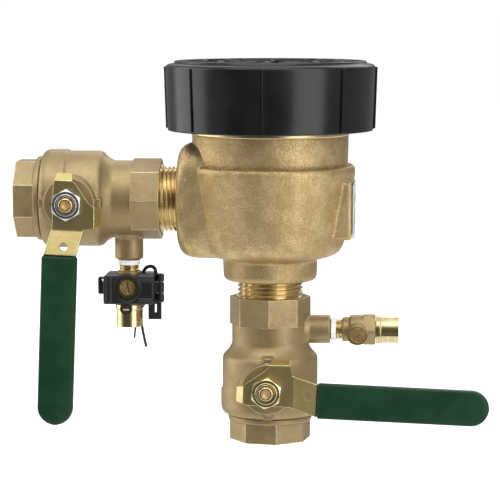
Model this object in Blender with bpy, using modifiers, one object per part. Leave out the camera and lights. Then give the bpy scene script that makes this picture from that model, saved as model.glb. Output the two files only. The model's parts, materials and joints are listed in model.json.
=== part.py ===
"""Pressure vacuum breaker, 1 inch: an irrigation backflow preventer.

A cast bronze bowl with a black canopy stands on a vertical ball valve (the inlet) and feeds a
horizontal ball valve (the outlet). Each ball valve has a test cock on its neck, and a hinged
lock clip closes round the outlet one.

The drawing is in millimetres and is scaled to metres as each mesh is made. The origin is the
centre of the inlet face, +Z runs up the inlet pipe, the outlet pipe runs towards -X, and both
levers are on the -Y side.
"""
import bmesh
import bpy
from math import atan2, cos, degrees, pi, radians, sin
from mathutils import Matrix, Vector

MM = 0.001
GAP = 0.3                      # clearance between pieces that touch

# Pipe threads (1 inch NPT) and waterway
THREAD_R = 16.7                # outside of a nipple
SOCKET_R = THREAD_R + GAP      # female thread
SOCKET_DEPTH = 12.5
WATERWAY_R = 12.0

# Ball valve, along its pipe axis from the free end
VALVE_LENGTH = 74.2
CAP_OCTAGON_LENGTH = 11.0
CAP_FLANGE_R = 21.6
JOINT_Z = 13.0                 # end of the end cap's flange
BALL_Z = 30.0
BALL_R = 17.5
PORT_R = 11.5
CAVITY_R = 18.2
BARREL_R = 24.5
BARREL_BASE_R = 25.3           # the band next to the end cap
NECK_R = 19.6
NECK_OCTAGON_Z = 59.5
CAP_OCTAGON_R = 21.1
NECK_OCTAGON_R = 20.9
OCTAGON_BEVEL = 0.6
COCK_Z = 57.0                  # test cock's axis
COCK_REACH = 31.0              # its boss's face, from the pipe axis
SEAT_BACK = 15.5               # seat pocket floor, from the ball centre
CAP_INSERT_R = 20.5

# Stem and handle, outwards from the pipe axis
PAD_R = 13.0
PAD_TOP = 28.5
STEM_R = 3.9
STEM_TOP = 41.5
STEM_FLANGE_R = 6.3
PACKING_R = 7.7
LEVER_UNDERSIDE = 32.0
LEVER_THICKNESS = 2.3
LEVER_LIFT = 5.2               # how far the arm stands outside the hub plate
LEVER_DROOP = 2.2              # degrees past square, at rest
LEVER_OFFSET = -2.4            # the arm's centre line, beside the stem
ARM_STEP_END = 25.0            # where the arm is fully out, along the lever
GRIP_START = 25.8
GRIP_LENGTH = 85.2
GRIP_TAIL = 9.5                # solid vinyl past the end of the arm
GRIP_WIDTH = 18.0
GRIP_THICKNESS = 7.0

# Bowl
OUTLET_Z = 123.8
HUB_BOTTOM = 82.5
BOWL_FLOOR = 101.0
GUIDE_LEDGE = 142.3
NECK_TOP = 168.0
NECK_BORE_R = 35.5
BOSS_R = 27.8
BOSS_END = 47.0                # outlet boss's face, from the bowl's axis
OUTLET_VALVE_X = -129.7        # its free end

# Canopy
CANOPY_BOTTOM = 159.3
CANOPY_TOP = 194.6             # the rim of the dish on top
CANOPY_SHOULDER = 192.9
CANOPY_PLATE = 191.6
CANOPY_R_TOP = 53.5
CANOPY_R_BOTTOM = 52.5
CANOPY_RIBS = 8

# Test cock, along its axis from the boss's face
COCK_STEM_Z = 14.0
COCK_BALL_R = 4.2
COCK_CAVITY_R = 4.6
COCK_BORE_R = 2.4
COCK_LENGTH = 35.0
COCK_STEM_R = 3.0
COCK_STEM_HEAD_R = 4.3
COCK_STEM_HEAD_LOW = 8.0       # underside of its head, from the cock's axis
COCK_STEM_BOSS_R = 5.3

# Lock clip, round the outlet test cock
CLIP_LOW = (-85.0, 70.3)       # X, Z
CLIP_HIGH = (-59.0, 85.0)
CLIP_DEPTH = 11.5
CLIP_WALL = 1.5
HINGE_X = -56.6
KNUCKLE_R = 1.9
TIE_R = 0.65

FINE, MEDIUM, COARSE, SMALL = 28, 20, 16, 10    # steps round turned pieces, by their size

FINISHES = {                    # linear colour, roughness, metallic
    "cast_bronze": ((0.36, 0.25, 0.12), 0.45, 1.0),
    "satin_bronze": ((0.40, 0.29, 0.15), 0.38, 1.0),
    "brass": ((0.62, 0.43, 0.17), 0.22, 1.0),
    "zinc_steel": ((0.45, 0.38, 0.14), 0.30, 1.0),
    "steel": ((0.55, 0.55, 0.56), 0.25, 1.0),
    "black_plastic": ((0.018, 0.019, 0.020), 0.25, 0.0),
    "green_vinyl": ((0.012, 0.065, 0.036), 0.40, 0.0),
    "rubber": ((0.02, 0.02, 0.02), 0.60, 0.0),
    "ptfe": ((0.80, 0.80, 0.77), 0.55, 0.0),
    "grey_plastic": ((0.25, 0.26, 0.27), 0.40, 0.0),
    "label": ((0.78, 0.78, 0.76), 0.45, 0.0),
}


# ---------------------------------------------------------------- scene and helpers

def clear_scene():
    for old in list(bpy.data.objects):
        bpy.data.objects.remove(old, do_unlink=True)


def new_collection(name):
    collection = bpy.data.collections.new(name)
    bpy.context.scene.collection.children.link(collection)
    return collection


clear_scene()
PARTS = new_collection("backflow_preventer")
CUTTERS = new_collection("cutters")


def place(obj, parent=None, at=(0, 0, 0), turn=(0, 0, 0)):
    """Stand an object in its parent's frame: `at` in millimetres, `turn` in degrees."""
    obj.parent = parent
    obj.location = Vector(at) * MM
    obj.rotation_euler = [radians(angle) for angle in turn]
    return obj


def frame(name, parent=None, at=(0, 0, 0), turn=(0, 0, 0)):
    """An empty that pieces are built in."""
    empty = bpy.data.objects.new(name, None)
    empty.empty_display_size = 10 * MM
    PARTS.objects.link(empty)
    return place(empty, parent, at, turn)


def add_mesh(name, mesh, parent, at=(0, 0, 0), turn=(0, 0, 0)):
    obj = bpy.data.objects.new(name, mesh)
    PARTS.objects.link(obj)
    return place(obj, parent, at, turn)


def mesh_from(name, bm):
    mesh = bpy.data.meshes.new(name)
    bm.to_mesh(mesh)
    bm.free()
    return mesh


def turned(name, outline, steps, parent=None, at=(0, 0, 0), turn=(0, 0, 0)):
    """A lathe piece about Z from (radius, z) points, down the outside first.

    An outline that starts and ends on the axis is solid; any other is closed into a ring.
    """
    bm = bmesh.new()
    verts = [bm.verts.new((radius * MM, 0, z * MM)) for radius, z in outline]
    on_axis = outline[0][0] == 0 and outline[-1][0] == 0
    pairs = list(zip(verts, verts[1:]))
    if not on_axis:
        pairs.append((verts[-1], verts[0]))
    for pair in pairs:
        bm.edges.new(pair)
    obj = add_mesh(name, mesh_from(name, bm), parent, at, turn)
    screw = obj.modifiers.new("turn", "SCREW")
    screw.axis = "Z"
    screw.angle = 2 * pi
    screw.screw_offset = 0
    screw.steps = screw.render_steps = steps
    screw.use_merge_vertices = True
    screw.merge_threshold = 0.000005
    screw.use_smooth_shade = False
    return obj


def rod(name, radius, z_low, z_high, steps, parent=None, at=(0, 0, 0), turn=(0, 0, 0)):
    return turned(name, [(0, z_high), (radius, z_high), (radius, z_low), (0, z_low)],
                  steps, parent, at, turn)


def ring(name, r_in, r_out, z_low, z_high, steps, parent=None, at=(0, 0, 0), turn=(0, 0, 0)):
    return turned(name, [(r_out, z_high), (r_out, z_low), (r_in, z_low), (r_in, z_high)],
                  steps, parent, at, turn)


def prism(name, sides, corner_r, z_low, z_high, parent=None, at=(0, 0, 0), turn=(0, 0, 0)):
    """A regular prism about Z with one corner on the X axis."""
    bm = bmesh.new()
    bmesh.ops.create_cone(bm, cap_ends=True, segments=sides, radius1=corner_r * MM,
                          radius2=corner_r * MM, depth=(z_high - z_low) * MM)
    corner = max(bm.verts, key=lambda v: v.co.x)
    bmesh.ops.rotate(bm, verts=bm.verts, matrix=Matrix.Rotation(-atan2(corner.co.y, corner.co.x), 3, "Z"))
    bmesh.ops.translate(bm, verts=bm.verts, vec=(0, 0, (z_low + z_high) / 2 * MM))
    return add_mesh(name, mesh_from(name, bm), parent, at, turn)


def block(name, low, high, parent=None, at=(0, 0, 0), turn=(0, 0, 0), bevel=0):
    bm = bmesh.new()
    bmesh.ops.create_cube(bm, size=1)
    size = Vector(high) - Vector(low)
    bmesh.ops.scale(bm, verts=bm.verts, vec=size * MM)
    bmesh.ops.translate(bm, verts=bm.verts, vec=(Vector(high) + Vector(low)) / 2 * MM)
    obj = add_mesh(name, mesh_from(name, bm), parent, at, turn)
    if bevel:
        round_edges(obj, bevel, 1)
    return obj


def round_edges(obj, width, segments):
    bevel = obj.modifiers.new("round", "BEVEL")
    bevel.width = width * MM
    bevel.segments = segments
    bevel.limit_method = "ANGLE"
    bevel.angle_limit = radians(40)


def curve_to_mesh(curve_obj, parent, at, turn):
    """Turn a curve into a welded mesh, so that it can be cut and joined."""
    bpy.context.view_layer.update()
    evaluated = curve_obj.evaluated_get(bpy.context.evaluated_depsgraph_get())
    mesh = bpy.data.meshes.new_from_object(evaluated)
    bm = bmesh.new()
    bm.from_mesh(mesh)
    bmesh.ops.remove_doubles(bm, verts=bm.verts, dist=0.00001)
    bm.to_mesh(mesh)
    bm.free()
    name = curve_obj.name
    bpy.data.objects.remove(curve_obj, do_unlink=True)
    return add_mesh(name, mesh, parent, at, turn)


def slab(name, points, z_low, z_high, parent=None, at=(0, 0, 0), turn=(0, 0, 0)):
    """A flat outline in the XY plane, given thickness along Z."""
    curve = bpy.data.curves.new(name, "CURVE")
    curve.dimensions = "2D"
    curve.fill_mode = "BOTH"
    curve.extrude = (z_high - z_low) / 2 * MM
    spline = curve.splines.new("POLY")
    spline.points.add(len(points) - 1)
    for point, (x, y) in zip(spline.points, points):
        point.co = (x * MM, y * MM, 0, 1)
    spline.use_cyclic_u = True
    outline = bpy.data.objects.new(name, curve)
    PARTS.objects.link(outline)
    obj = curve_to_mesh(outline, parent, at, turn)
    obj.data.transform(Matrix.Translation((0, 0, (z_low + z_high) / 2 * MM)))
    return obj


def wire(name, points, radius, sides_level=2, parent=None, at=(0, 0, 0), turn=(0, 0, 0)):
    """A round bar along a list of points."""
    curve = bpy.data.curves.new(name, "CURVE")
    curve.dimensions = "3D"
    curve.bevel_depth = radius * MM
    curve.bevel_resolution = sides_level
    curve.use_fill_caps = True
    spline = curve.splines.new("POLY")
    spline.points.add(len(points) - 1)
    for point, place_mm in zip(spline.points, points):
        point.co = (*(Vector(place_mm) * MM), 1)
    bar = bpy.data.objects.new(name, curve)
    PARTS.objects.link(bar)
    return curve_to_mesh(bar, parent, at, turn)


def combine(obj, tool, operation):
    """Join, cut or intersect with a tool, which moves to the cutters' collection.

    Triangles first: a flat ring left by one cut is not quite flat enough for the next.
    """
    obj.modifiers.new("triangles", "TRIANGULATE")
    boolean = obj.modifiers.new(operation.lower(), "BOOLEAN")
    boolean.operation = operation
    boolean.solver = "EXACT"
    boolean.object = tool
    tool.display_type = "WIRE"
    tool.hide_render = True
    PARTS.objects.unlink(tool)
    CUTTERS.objects.link(tool)


def join(obj, *tools):
    for tool in tools:
        combine(obj, tool, "UNION")


def cut(obj, *tools):
    for tool in tools:
        combine(obj, tool, "DIFFERENCE")


def finish(obj, finish_name):
    """Give a piece its own material with the named finish."""
    colour, roughness, metallic = FINISHES[finish_name]
    material = bpy.data.materials.new(obj.name)
    material.use_nodes = True
    shader = material.node_tree.nodes["Principled BSDF"]
    shader.inputs["Base Color"].default_value = (*colour, 1)
    shader.inputs["Roughness"].default_value = roughness
    shader.inputs["Metallic"].default_value = metallic
    material.diffuse_color = (*colour, 1)
    obj.data.materials.clear()
    obj.data.materials.append(material)
    return obj


def coil(name, radius, wire_r, z_low, z_high, turns, parent=None):
    """A compression spring about Z."""
    per_turn = 8
    count = turns * per_turn
    points = [(radius * cos(2 * pi * i / per_turn), radius * sin(2 * pi * i / per_turn),
               z_low + wire_r + (z_high - z_low - 2 * wire_r) * i / count)
              for i in range(count + 1)]
    return wire(name, points, wire_r, 0, parent)


# ---------------------------------------------------------------- ball valve

def octagon_end(name, corner_r, z_low, z_high, valve, turn):
    """An eight-sided wrench end with eased edges."""
    end = prism(name, 8, corner_r, z_low, z_high, valve, turn=(0, 0, turn))
    round_edges(end, OCTAGON_BEVEL, 1)
    return end


def valve_body(prefix, valve, stem_axis):
    barrel = turned(prefix + "_body", [
        (0, NECK_OCTAGON_Z + 0.4), (NECK_R, NECK_OCTAGON_Z + 0.4), (NECK_R, 50.0), (20.6, 47.8),
        (22.0, 45.8), (23.9, 44.0), (BARREL_R, 42.5), (BARREL_R, 26.8), (BARREL_BASE_R, 26.2),
        (BARREL_BASE_R, 17.3), (24.8, 15.2), (23.9, 13.9), (22.5, JOINT_Z + GAP),
        (0, JOINT_Z + GAP)], MEDIUM, valve)
    neck_end = octagon_end(prefix + "_neck_octagon", NECK_OCTAGON_R, NECK_OCTAGON_Z, VALVE_LENGTH,
                           valve, 90)
    pad = rod(prefix + "_stem_pad", PAD_R, 15, PAD_TOP, COARSE, stem_axis)
    lug_low, lug_top = 20, 27.6
    upper_lug = block(prefix + "_upper_lug", (-2.4, 13.4, lug_low), (2.4, 15.9, lug_top), stem_axis)
    lower_lug = block(prefix + "_lower_lug", (-2.4, -13.4, lug_low), (2.4, -10.9, lug_top), stem_axis)
    boss = rod(prefix + "_cock_boss", 7.3, 14, COCK_REACH, COARSE, valve, (0, 0, COCK_Z), (0, 90, 0))
    join(barrel, neck_end, pad, upper_lug, lower_lug, boss)

    pocket = BALL_Z + SEAT_BACK
    waterway = turned(prefix + "_waterway", [
        (0, VALVE_LENGTH + 1), (SOCKET_R, VALVE_LENGTH + 1), (SOCKET_R, NECK_OCTAGON_Z + 0.5),
        (WATERWAY_R, NECK_OCTAGON_Z + 0.5), (WATERWAY_R, pocket), (CAVITY_R, pocket),
        (CAVITY_R, 21 + GAP), (CAP_INSERT_R + GAP, 21 + GAP), (CAP_INSERT_R + GAP, 12), (0, 12)],
        MEDIUM, valve)
    stem_hole = turned(prefix + "_stem_hole", [
        (0, PAD_TOP + 1), (PACKING_R + GAP, PAD_TOP + 1), (PACKING_R + GAP, 24.2),
        (STEM_R + 0.5, 24.2), (STEM_R + 0.5, 20.8), (STEM_FLANGE_R + GAP, 20.8),
        (STEM_FLANGE_R + GAP, 14), (0, 14)], COARSE, stem_axis)
    cock_hole = rod(prefix + "_cock_hole", 5.4, 8, COCK_REACH + 1, COARSE, valve,
                    (0, 0, COCK_Z), (0, 90, 0))
    cut(barrel, waterway, stem_hole, cock_hole)
    finish(barrel, "satin_bronze")


def valve_end_cap(prefix, valve, octagon_turn):
    cap = octagon_end(prefix + "_end_cap", CAP_OCTAGON_R, 0, CAP_OCTAGON_LENGTH + 0.2,
                      valve, octagon_turn)
    insert_end = 21.0
    insert = turned(prefix + "_insert", [
        (0, insert_end), (CAP_INSERT_R, insert_end), (CAP_INSERT_R, JOINT_Z),
        (CAP_FLANGE_R, JOINT_Z), (CAP_FLANGE_R, CAP_OCTAGON_LENGTH), (0, CAP_OCTAGON_LENGTH)],
        MEDIUM, valve)
    join(cap, insert)
    pocket = BALL_Z - SEAT_BACK
    cut(cap, turned(prefix + "_cap_bore", [
        (0, 22), (CAP_INSERT_R - 3, 22), (CAP_INSERT_R - 3, pocket), (WATERWAY_R, pocket),
        (WATERWAY_R, SOCKET_DEPTH), (SOCKET_R, SOCKET_DEPTH), (SOCKET_R, -1), (0, -1)],
        MEDIUM, valve))
    finish(cap, "satin_bronze")


def valve_seat(name, valve, flip):
    """A ring with a conical face to the ball, seen from the ball centre."""
    back, front, lip_r, seat_r = SEAT_BACK - GAP, 9.1, 15.6, CAP_INSERT_R - 3 - GAP
    seat = turned(name, [(seat_r, back), (seat_r, front), (lip_r, front),
                         (WATERWAY_R + 0.2, 13.6), (WATERWAY_R + 0.2, back)],
                  COARSE, valve, (0, 0, BALL_Z), (flip, 0, 0))
    finish(seat, "ptfe")


def valve_ball(prefix, handle):
    """The ball lies across the pipe: its port runs along the lever."""
    bm = bmesh.new()
    bmesh.ops.create_uvsphere(bm, u_segments=14, v_segments=8, radius=BALL_R * MM)
    ball = add_mesh(prefix + "_ball", mesh_from(prefix + "_ball", bm), handle)
    cut(ball,
        rod(prefix + "_port", PORT_R, -20, 20, COARSE, handle, turn=(0, 90, 0)),
        block(prefix + "_ball_slot", (-4.6, -1.7, 14.9), (4.6, 1.7, 19), handle))
    finish(ball, "steel")


def valve_stem(prefix, handle):
    flange_low, flange_high = 18.5, 20.5
    stem = turned(prefix + "_stem", [
        (0, STEM_TOP - 0.8), (1.2, STEM_TOP), (STEM_R - 0.5, STEM_TOP), (STEM_R, STEM_TOP - 0.5),
        (STEM_R, flange_high), (STEM_FLANGE_R, flange_high), (STEM_FLANGE_R, flange_low),
        (0, flange_low)], COARSE, handle)
    join(stem, block(prefix + "_tang", (-4.2, -1.3, 15.3), (4.2, 1.3, 19), handle))
    finish(stem, "brass")


def gland(prefix, stem_axis):
    packing = ring(prefix + "_packing", STEM_R + 0.4, PACKING_R, 24.5, 27.2, COARSE, stem_axis)
    finish(packing, "ptfe")
    head_low = PAD_TOP + GAP
    nut = prism(prefix + "_gland_nut", 6, 8.6, head_low, LEVER_UNDERSIDE - 0.5, stem_axis)
    join(nut, rod(prefix + "_gland_thread", PACKING_R, 27.5, head_low + 0.5, COARSE, stem_axis))
    cut(nut, rod(prefix + "_gland_bore", STEM_R + 0.4, 27, LEVER_UNDERSIDE, COARSE, stem_axis))
    finish(nut, "brass")


def lever_sheet(name, handle):
    """The lever's underside as an open sheet: hub plate, two tabs bent back, and the arm."""
    bm = bmesh.new()
    s = LEVER_UNDERSIDE
    arm_s = s + LEVER_LIFT
    half_wide, half_narrow, half_tip = 8.2, 7.2, 4.2
    arm_end = GRIP_START + GRIP_LENGTH - GRIP_TAIL

    def vert(d, n, height):
        return bm.verts.new((d * MM, n * MM, height * MM))

    tab_a_low, tab_a_high = vert(-11, -6.5, s), vert(-11, 2.4, s)
    tab_b_far, tab_b_near = vert(11.5, 12.6, s), vert(0.8, 12.6, s)
    arm_low, arm_high = vert(12.5, -7.3, s), vert(12.5, 8.8, s)
    hub = [tab_a_low, vert(-10.4, -7.1, s), arm_low, arm_high, tab_b_far, tab_b_near,
           vert(-1.6, 10.2, s), vert(-5.2, 7.6, s), vert(-9.0, 5.0, s), tab_a_high]
    bm.faces.new(hub)
    bm.faces.new([tab_a_low, tab_a_high, vert(-13.6, 1.4, s - 3.0), vert(-13.6, -6.0, s - 3.0)])
    bm.faces.new([tab_b_near, tab_b_far, vert(11.0, 14.2, s - 3.0), vert(2.0, 14.2, s - 3.0)])
    edge = (arm_low, arm_high)
    stations = [(ARM_STEP_END, half_wide), (GRIP_START - 0.3, half_narrow), (arm_end - 2.5, half_narrow),
                (arm_end, half_tip)]
    for d, half in stations:
        far = (vert(d, LEVER_OFFSET - half, arm_s), vert(d, LEVER_OFFSET + half, arm_s))
        bm.faces.new([edge[0], far[0], far[1], edge[1]])
        edge = far
    return add_mesh(name, mesh_from(name, bm), handle)


def valve_lever(prefix, handle):
    lever = lever_sheet(prefix + "_lever", handle)
    thick = lever.modifiers.new("plate", "SOLIDIFY")
    thick.thickness = LEVER_THICKNESS * MM
    thick.offset = 1
    thick.use_even_offset = True
    cut(lever,
        rod(prefix + "_lever_bore", STEM_R + GAP, 28, 38, COARSE, handle),
        rod(prefix + "_lever_hole", 2.1, 28, 42, SMALL, handle, (21, -0.8, 0)))
    finish(lever, "zinc_steel")


def valve_grip(prefix, handle):
    """A dipped vinyl sleeve with a fully round end."""
    middle = LEVER_UNDERSIDE + LEVER_LIFT + LEVER_THICKNESS / 2
    half, end = GRIP_WIDTH / 2, GRIP_START + GRIP_LENGTH - GRIP_WIDTH / 2
    outline = [(GRIP_START, LEVER_OFFSET + half - 1), (GRIP_START, LEVER_OFFSET - half + 1),
               (GRIP_START + 1, LEVER_OFFSET - half)]
    for i in range(9):
        angle = -pi / 2 + pi * i / 8
        outline.append((end + half * cos(angle), LEVER_OFFSET + half * sin(angle)))
    outline.append((GRIP_START + 1, LEVER_OFFSET + half))
    grip = slab(prefix + "_grip", outline, middle - GRIP_THICKNESS / 2, middle + GRIP_THICKNESS / 2,
                handle)
    round_edges(grip, 1.8, 2)
    slot_half, slot_thick = 7.5, LEVER_THICKNESS / 2 + GAP
    arm_end = GRIP_START + GRIP_LENGTH - GRIP_TAIL
    cut(grip, block(prefix + "_grip_slot", (GRIP_START - 1, LEVER_OFFSET - slot_half, middle - slot_thick),
                    (arm_end + GAP, LEVER_OFFSET + slot_half, middle + slot_thick), handle))
    finish(grip, "green_vinyl")


def valve_handle_nut(prefix, handle, nut_turn):
    low = LEVER_UNDERSIDE + LEVER_THICKNESS + GAP
    nut = prism(prefix + "_handle_nut", 6, 8.1, low, low + 4.8, handle, turn=(0, 0, nut_turn))
    join(nut, rod(prefix + "_nut_collar", 5.6, low + 4, low + 5.8, COARSE, handle))
    cut(nut, rod(prefix + "_nut_bore", STEM_R + GAP, low - 1, low + 7, COARSE, handle))
    finish(nut, "steel")


def ball_valve(prefix, at, turn, cap_turn, nut_turn):
    """A two-piece ball valve along +Z with its stem towards -Y and its cock towards +X."""
    valve = frame(prefix, at=at, turn=turn)
    stem_axis = frame(prefix + "_stem_axis", valve, (0, 0, BALL_Z), (90, 0, 0))
    handle = frame(prefix + "_handle", valve, (0, 0, BALL_Z), (90, LEVER_DROOP, 0))
    valve_body(prefix, valve, stem_axis)
    valve_end_cap(prefix, valve, cap_turn)
    valve_seat(prefix + "_cap_seat", valve, 180)
    valve_seat(prefix + "_neck_seat", valve, 0)
    valve_ball(prefix, handle)
    valve_stem(prefix, handle)
    gland(prefix, stem_axis)
    valve_lever(prefix, handle)
    valve_grip(prefix, handle)
    valve_handle_nut(prefix, handle, nut_turn)
    return valve


# ---------------------------------------------------------------- test cock

def cock_body(prefix, cock, stem_axis):
    body = turned(prefix + "_body", [
        (0, 17.3), (7.5, 17.3), (7.5, 10.4), (6.3, 9.9), (6.3, 6.3), (5.1, 5.8), (5.1, -4), (0, -4)],
        COARSE, cock)
    join(body,
         prism(prefix + "_hex", 6, 8.5, 17.0, 23.2, cock, turn=(0, 0, 30)),
         rod(prefix + "_stem_boss", COCK_STEM_BOSS_R, 0, 9.3, COARSE, stem_axis))
    cut(body,
        turned(prefix + "_bore", [(0, 24), (COCK_CAVITY_R, 24), (COCK_CAVITY_R, 9.4),
                                  (COCK_BORE_R, 9.4), (COCK_BORE_R, -5), (0, -5)], SMALL, cock),
        turned(prefix + "_stem_bore", [
            (0, 10), (COCK_STEM_HEAD_R + GAP, 10), (COCK_STEM_HEAD_R + GAP, COCK_STEM_HEAD_LOW - GAP),
            (COCK_STEM_R + GAP, COCK_STEM_HEAD_LOW - GAP), (COCK_STEM_R + GAP, 1), (0, 1)],
            COARSE, stem_axis))
    finish(body, "satin_bronze")


def cock_nozzle(prefix, cock):
    nozzle = turned(prefix + "_nozzle", [
        (6.8, COCK_LENGTH), (6.8, 26.0), (7.2, 25.7), (7.2, 23.5), (4.3, 23.5), (4.3, 19.2),
        (COCK_BORE_R, 19.2), (COCK_BORE_R, 29.5), (5.2, 29.5), (5.2, COCK_LENGTH)], COARSE, cock)
    finish(nozzle, "brass")


def cock_ball_and_stem(prefix, key):
    """The slot in the stem runs along the port, so it shows which way the ball lies."""
    bm = bmesh.new()
    bmesh.ops.create_uvsphere(bm, u_segments=10, v_segments=6, radius=COCK_BALL_R * MM)
    ball = add_mesh(prefix + "_ball", mesh_from(prefix + "_ball", bm), key)
    cut(ball,
        rod(prefix + "_ball_port", 2.0, -5, 5, SMALL, key, turn=(0, 90, 0)),
        block(prefix + "_ball_key", (-2.5, -0.8, 3.1), (2.5, 0.8, 5), key))
    finish(ball, "steel")
    stem = turned(prefix + "_stem", [
        (0, 9.6), (COCK_STEM_HEAD_R, 9.6), (COCK_STEM_HEAD_R, COCK_STEM_HEAD_LOW),
        (COCK_STEM_R, COCK_STEM_HEAD_LOW), (COCK_STEM_R, 4.6), (0, 4.6)], COARSE, key)
    join(stem, block(prefix + "_stem_tang", (-1.6, -0.5, 3.4), (1.6, 0.5, 5), key))
    cut(stem, block(prefix + "_driver_slot", (-3.3, -0.7, 8.6), (3.3, 0.7, 11), key))
    finish(stem, "brass")


def test_cock(prefix, valve, stem_tilt, slot_turn):
    """A ball-type test cock, screwed into the valve's neck."""
    cock = frame(prefix, valve, (COCK_REACH, 0, COCK_Z), (0, 90, 0))
    stem_axis = frame(prefix + "_stem_axis", cock, (0, 0, COCK_STEM_Z), (90, 0, stem_tilt))
    key = frame(prefix + "_key", stem_axis, turn=(0, 0, slot_turn))
    cock_body(prefix, cock, stem_axis)
    cock_nozzle(prefix, cock)
    cock_ball_and_stem(prefix, key)
    tape = ring(prefix + "_thread_tape", 5.4, 5.8, GAP, 3.0, COARSE, cock)
    finish(tape, "ptfe")


# ---------------------------------------------------------------- bowl, check and air inlet

def bowl_body(outlet_axis):
    body = turned("body", [
        (0, NECK_TOP), (40.5, NECK_TOP), (40.5, 156.8), (39.7, 156.2), (39.7, 142.4),
        (43.0, 140.8), (43.4, 139.2), (43.2, 136.0), (38.4, 104.6), (37.5, 101.0), (35.9, 98.0),
        (33.6, 96.2), (30.4, 95.0), (25.8, 94.0), (24.2, 93.2), (24.0, 85.0), (23.2, 83.2),
        (21.5, HUB_BOTTOM), (0, HUB_BOTTOM)], FINE)
    boss = turned("outlet_boss", [
        (0, BOSS_END), (17.8, BOSS_END), (23.4, 46.4), (26.4, 45.0), (27.5, 43.4), (BOSS_R, 41.8),
        (BOSS_R, 20), (0, 20)], FINE, outlet_axis)
    shoulder = block("outlet_shoulder", (-41.6, -22.5, 101), (-20, 22.5, 153.5), bevel=6)
    label_pad = block("label_pad", (30, -21, 105), (42, 21, 134.5), bevel=1.2)
    join(body, boss, shoulder, label_pad)
    cavity = turned("bowl_cavity", [
        (0, NECK_TOP + 1), (NECK_BORE_R, NECK_TOP + 1), (NECK_BORE_R, GUIDE_LEDGE),
        (33.0, GUIDE_LEDGE), (33.0, 139.3), (38.2, 134.5), (34.0, 105.0), (31.0, BOWL_FLOOR),
        (15.3, BOWL_FLOOR), (15.3, 97), (12.5, 97), (12.5, 94), (SOCKET_R, 94),
        (SOCKET_R, HUB_BOTTOM - 1), (0, HUB_BOTTOM - 1)], FINE)
    socket = turned("outlet_socket", [
        (0, BOSS_END + 1), (SOCKET_R, BOSS_END + 1), (SOCKET_R, 38.5), (12.5, 38.5), (12.5, 25),
        (0, 25)], MEDIUM, outlet_axis)
    label_flat = block("label_flat", (42, -20, 104.8), (48, 20, 133.8))
    cut(body, cavity, socket, label_flat)
    finish(body, "cast_bronze")
    plate = block("label_plate", (42 + GAP, -19, 105.6), (43.3, 19, 132.9), bevel=0.3)
    finish(plate, "label")


def nipples(outlet_axis):
    lower = ring("inlet_nipple", 13, THREAD_R, NECK_OCTAGON_Z + 0.8, 93.7, MEDIUM)
    finish(lower, "brass")
    valve_socket = -OUTLET_VALVE_X - NECK_OCTAGON_Z - 0.8
    side = ring("outlet_nipple", 13, THREAD_R, 38.8, valve_socket, MEDIUM, outlet_axis)
    finish(side, "brass")


def check_valve():
    """The spring-loaded check that closes on its seat in the bowl's floor."""
    seat = turned("check_seat", [(13.2, 103.8), (13.2, 102.5), (19, 102.5), (19, 101.3), (15, 101.3),
                                 (15, 97.3), (11.5, 97.3), (11.5, 103.8)], COARSE)
    finish(seat, "brass")
    disc = ring("check_disc", 3.5, 16, 104.1, 107, COARSE)
    finish(disc, "rubber")
    poppet = turned("check_poppet", [
        (0, 137.5), (3, 137.5), (3, 110.3), (17.5, 110.3), (17.5, 107.3), (3.1, 107.3), (3.1, 104.2),
        (2.0, 104.2), (2.0, 113), (0, 113)], COARSE)
    finish(poppet, "grey_plastic")
    retainer = turned("disc_retainer", [
        (0, 112.5), (1.6, 112.5), (1.6, 103.8), (9, 103.8), (9, 102.4), (4.2, 102.4), (4.2, 99.5),
        (0, 99.5)], SMALL)
    finish(retainer, "steel")
    finish(coil("check_spring", 8.2, 0.7, 110.6, 142.0, 6), "steel")
    guide = ring("spring_guide", 30, 35.1, GUIDE_LEDGE + GAP, 145.7, FINE)
    join(guide, rod("guide_hub", 6.3, 134, 146.5, COARSE))
    for i in range(3):
        join(guide, block(f"guide_arm_{i}", (5, -2.5, 142.6), (31, 2.5, 145.4), turn=(0, 0, 120 * i)))
    cut(guide, rod("guide_bore", 3.4, 133, 148, SMALL))
    finish(guide, "grey_plastic")


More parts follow.
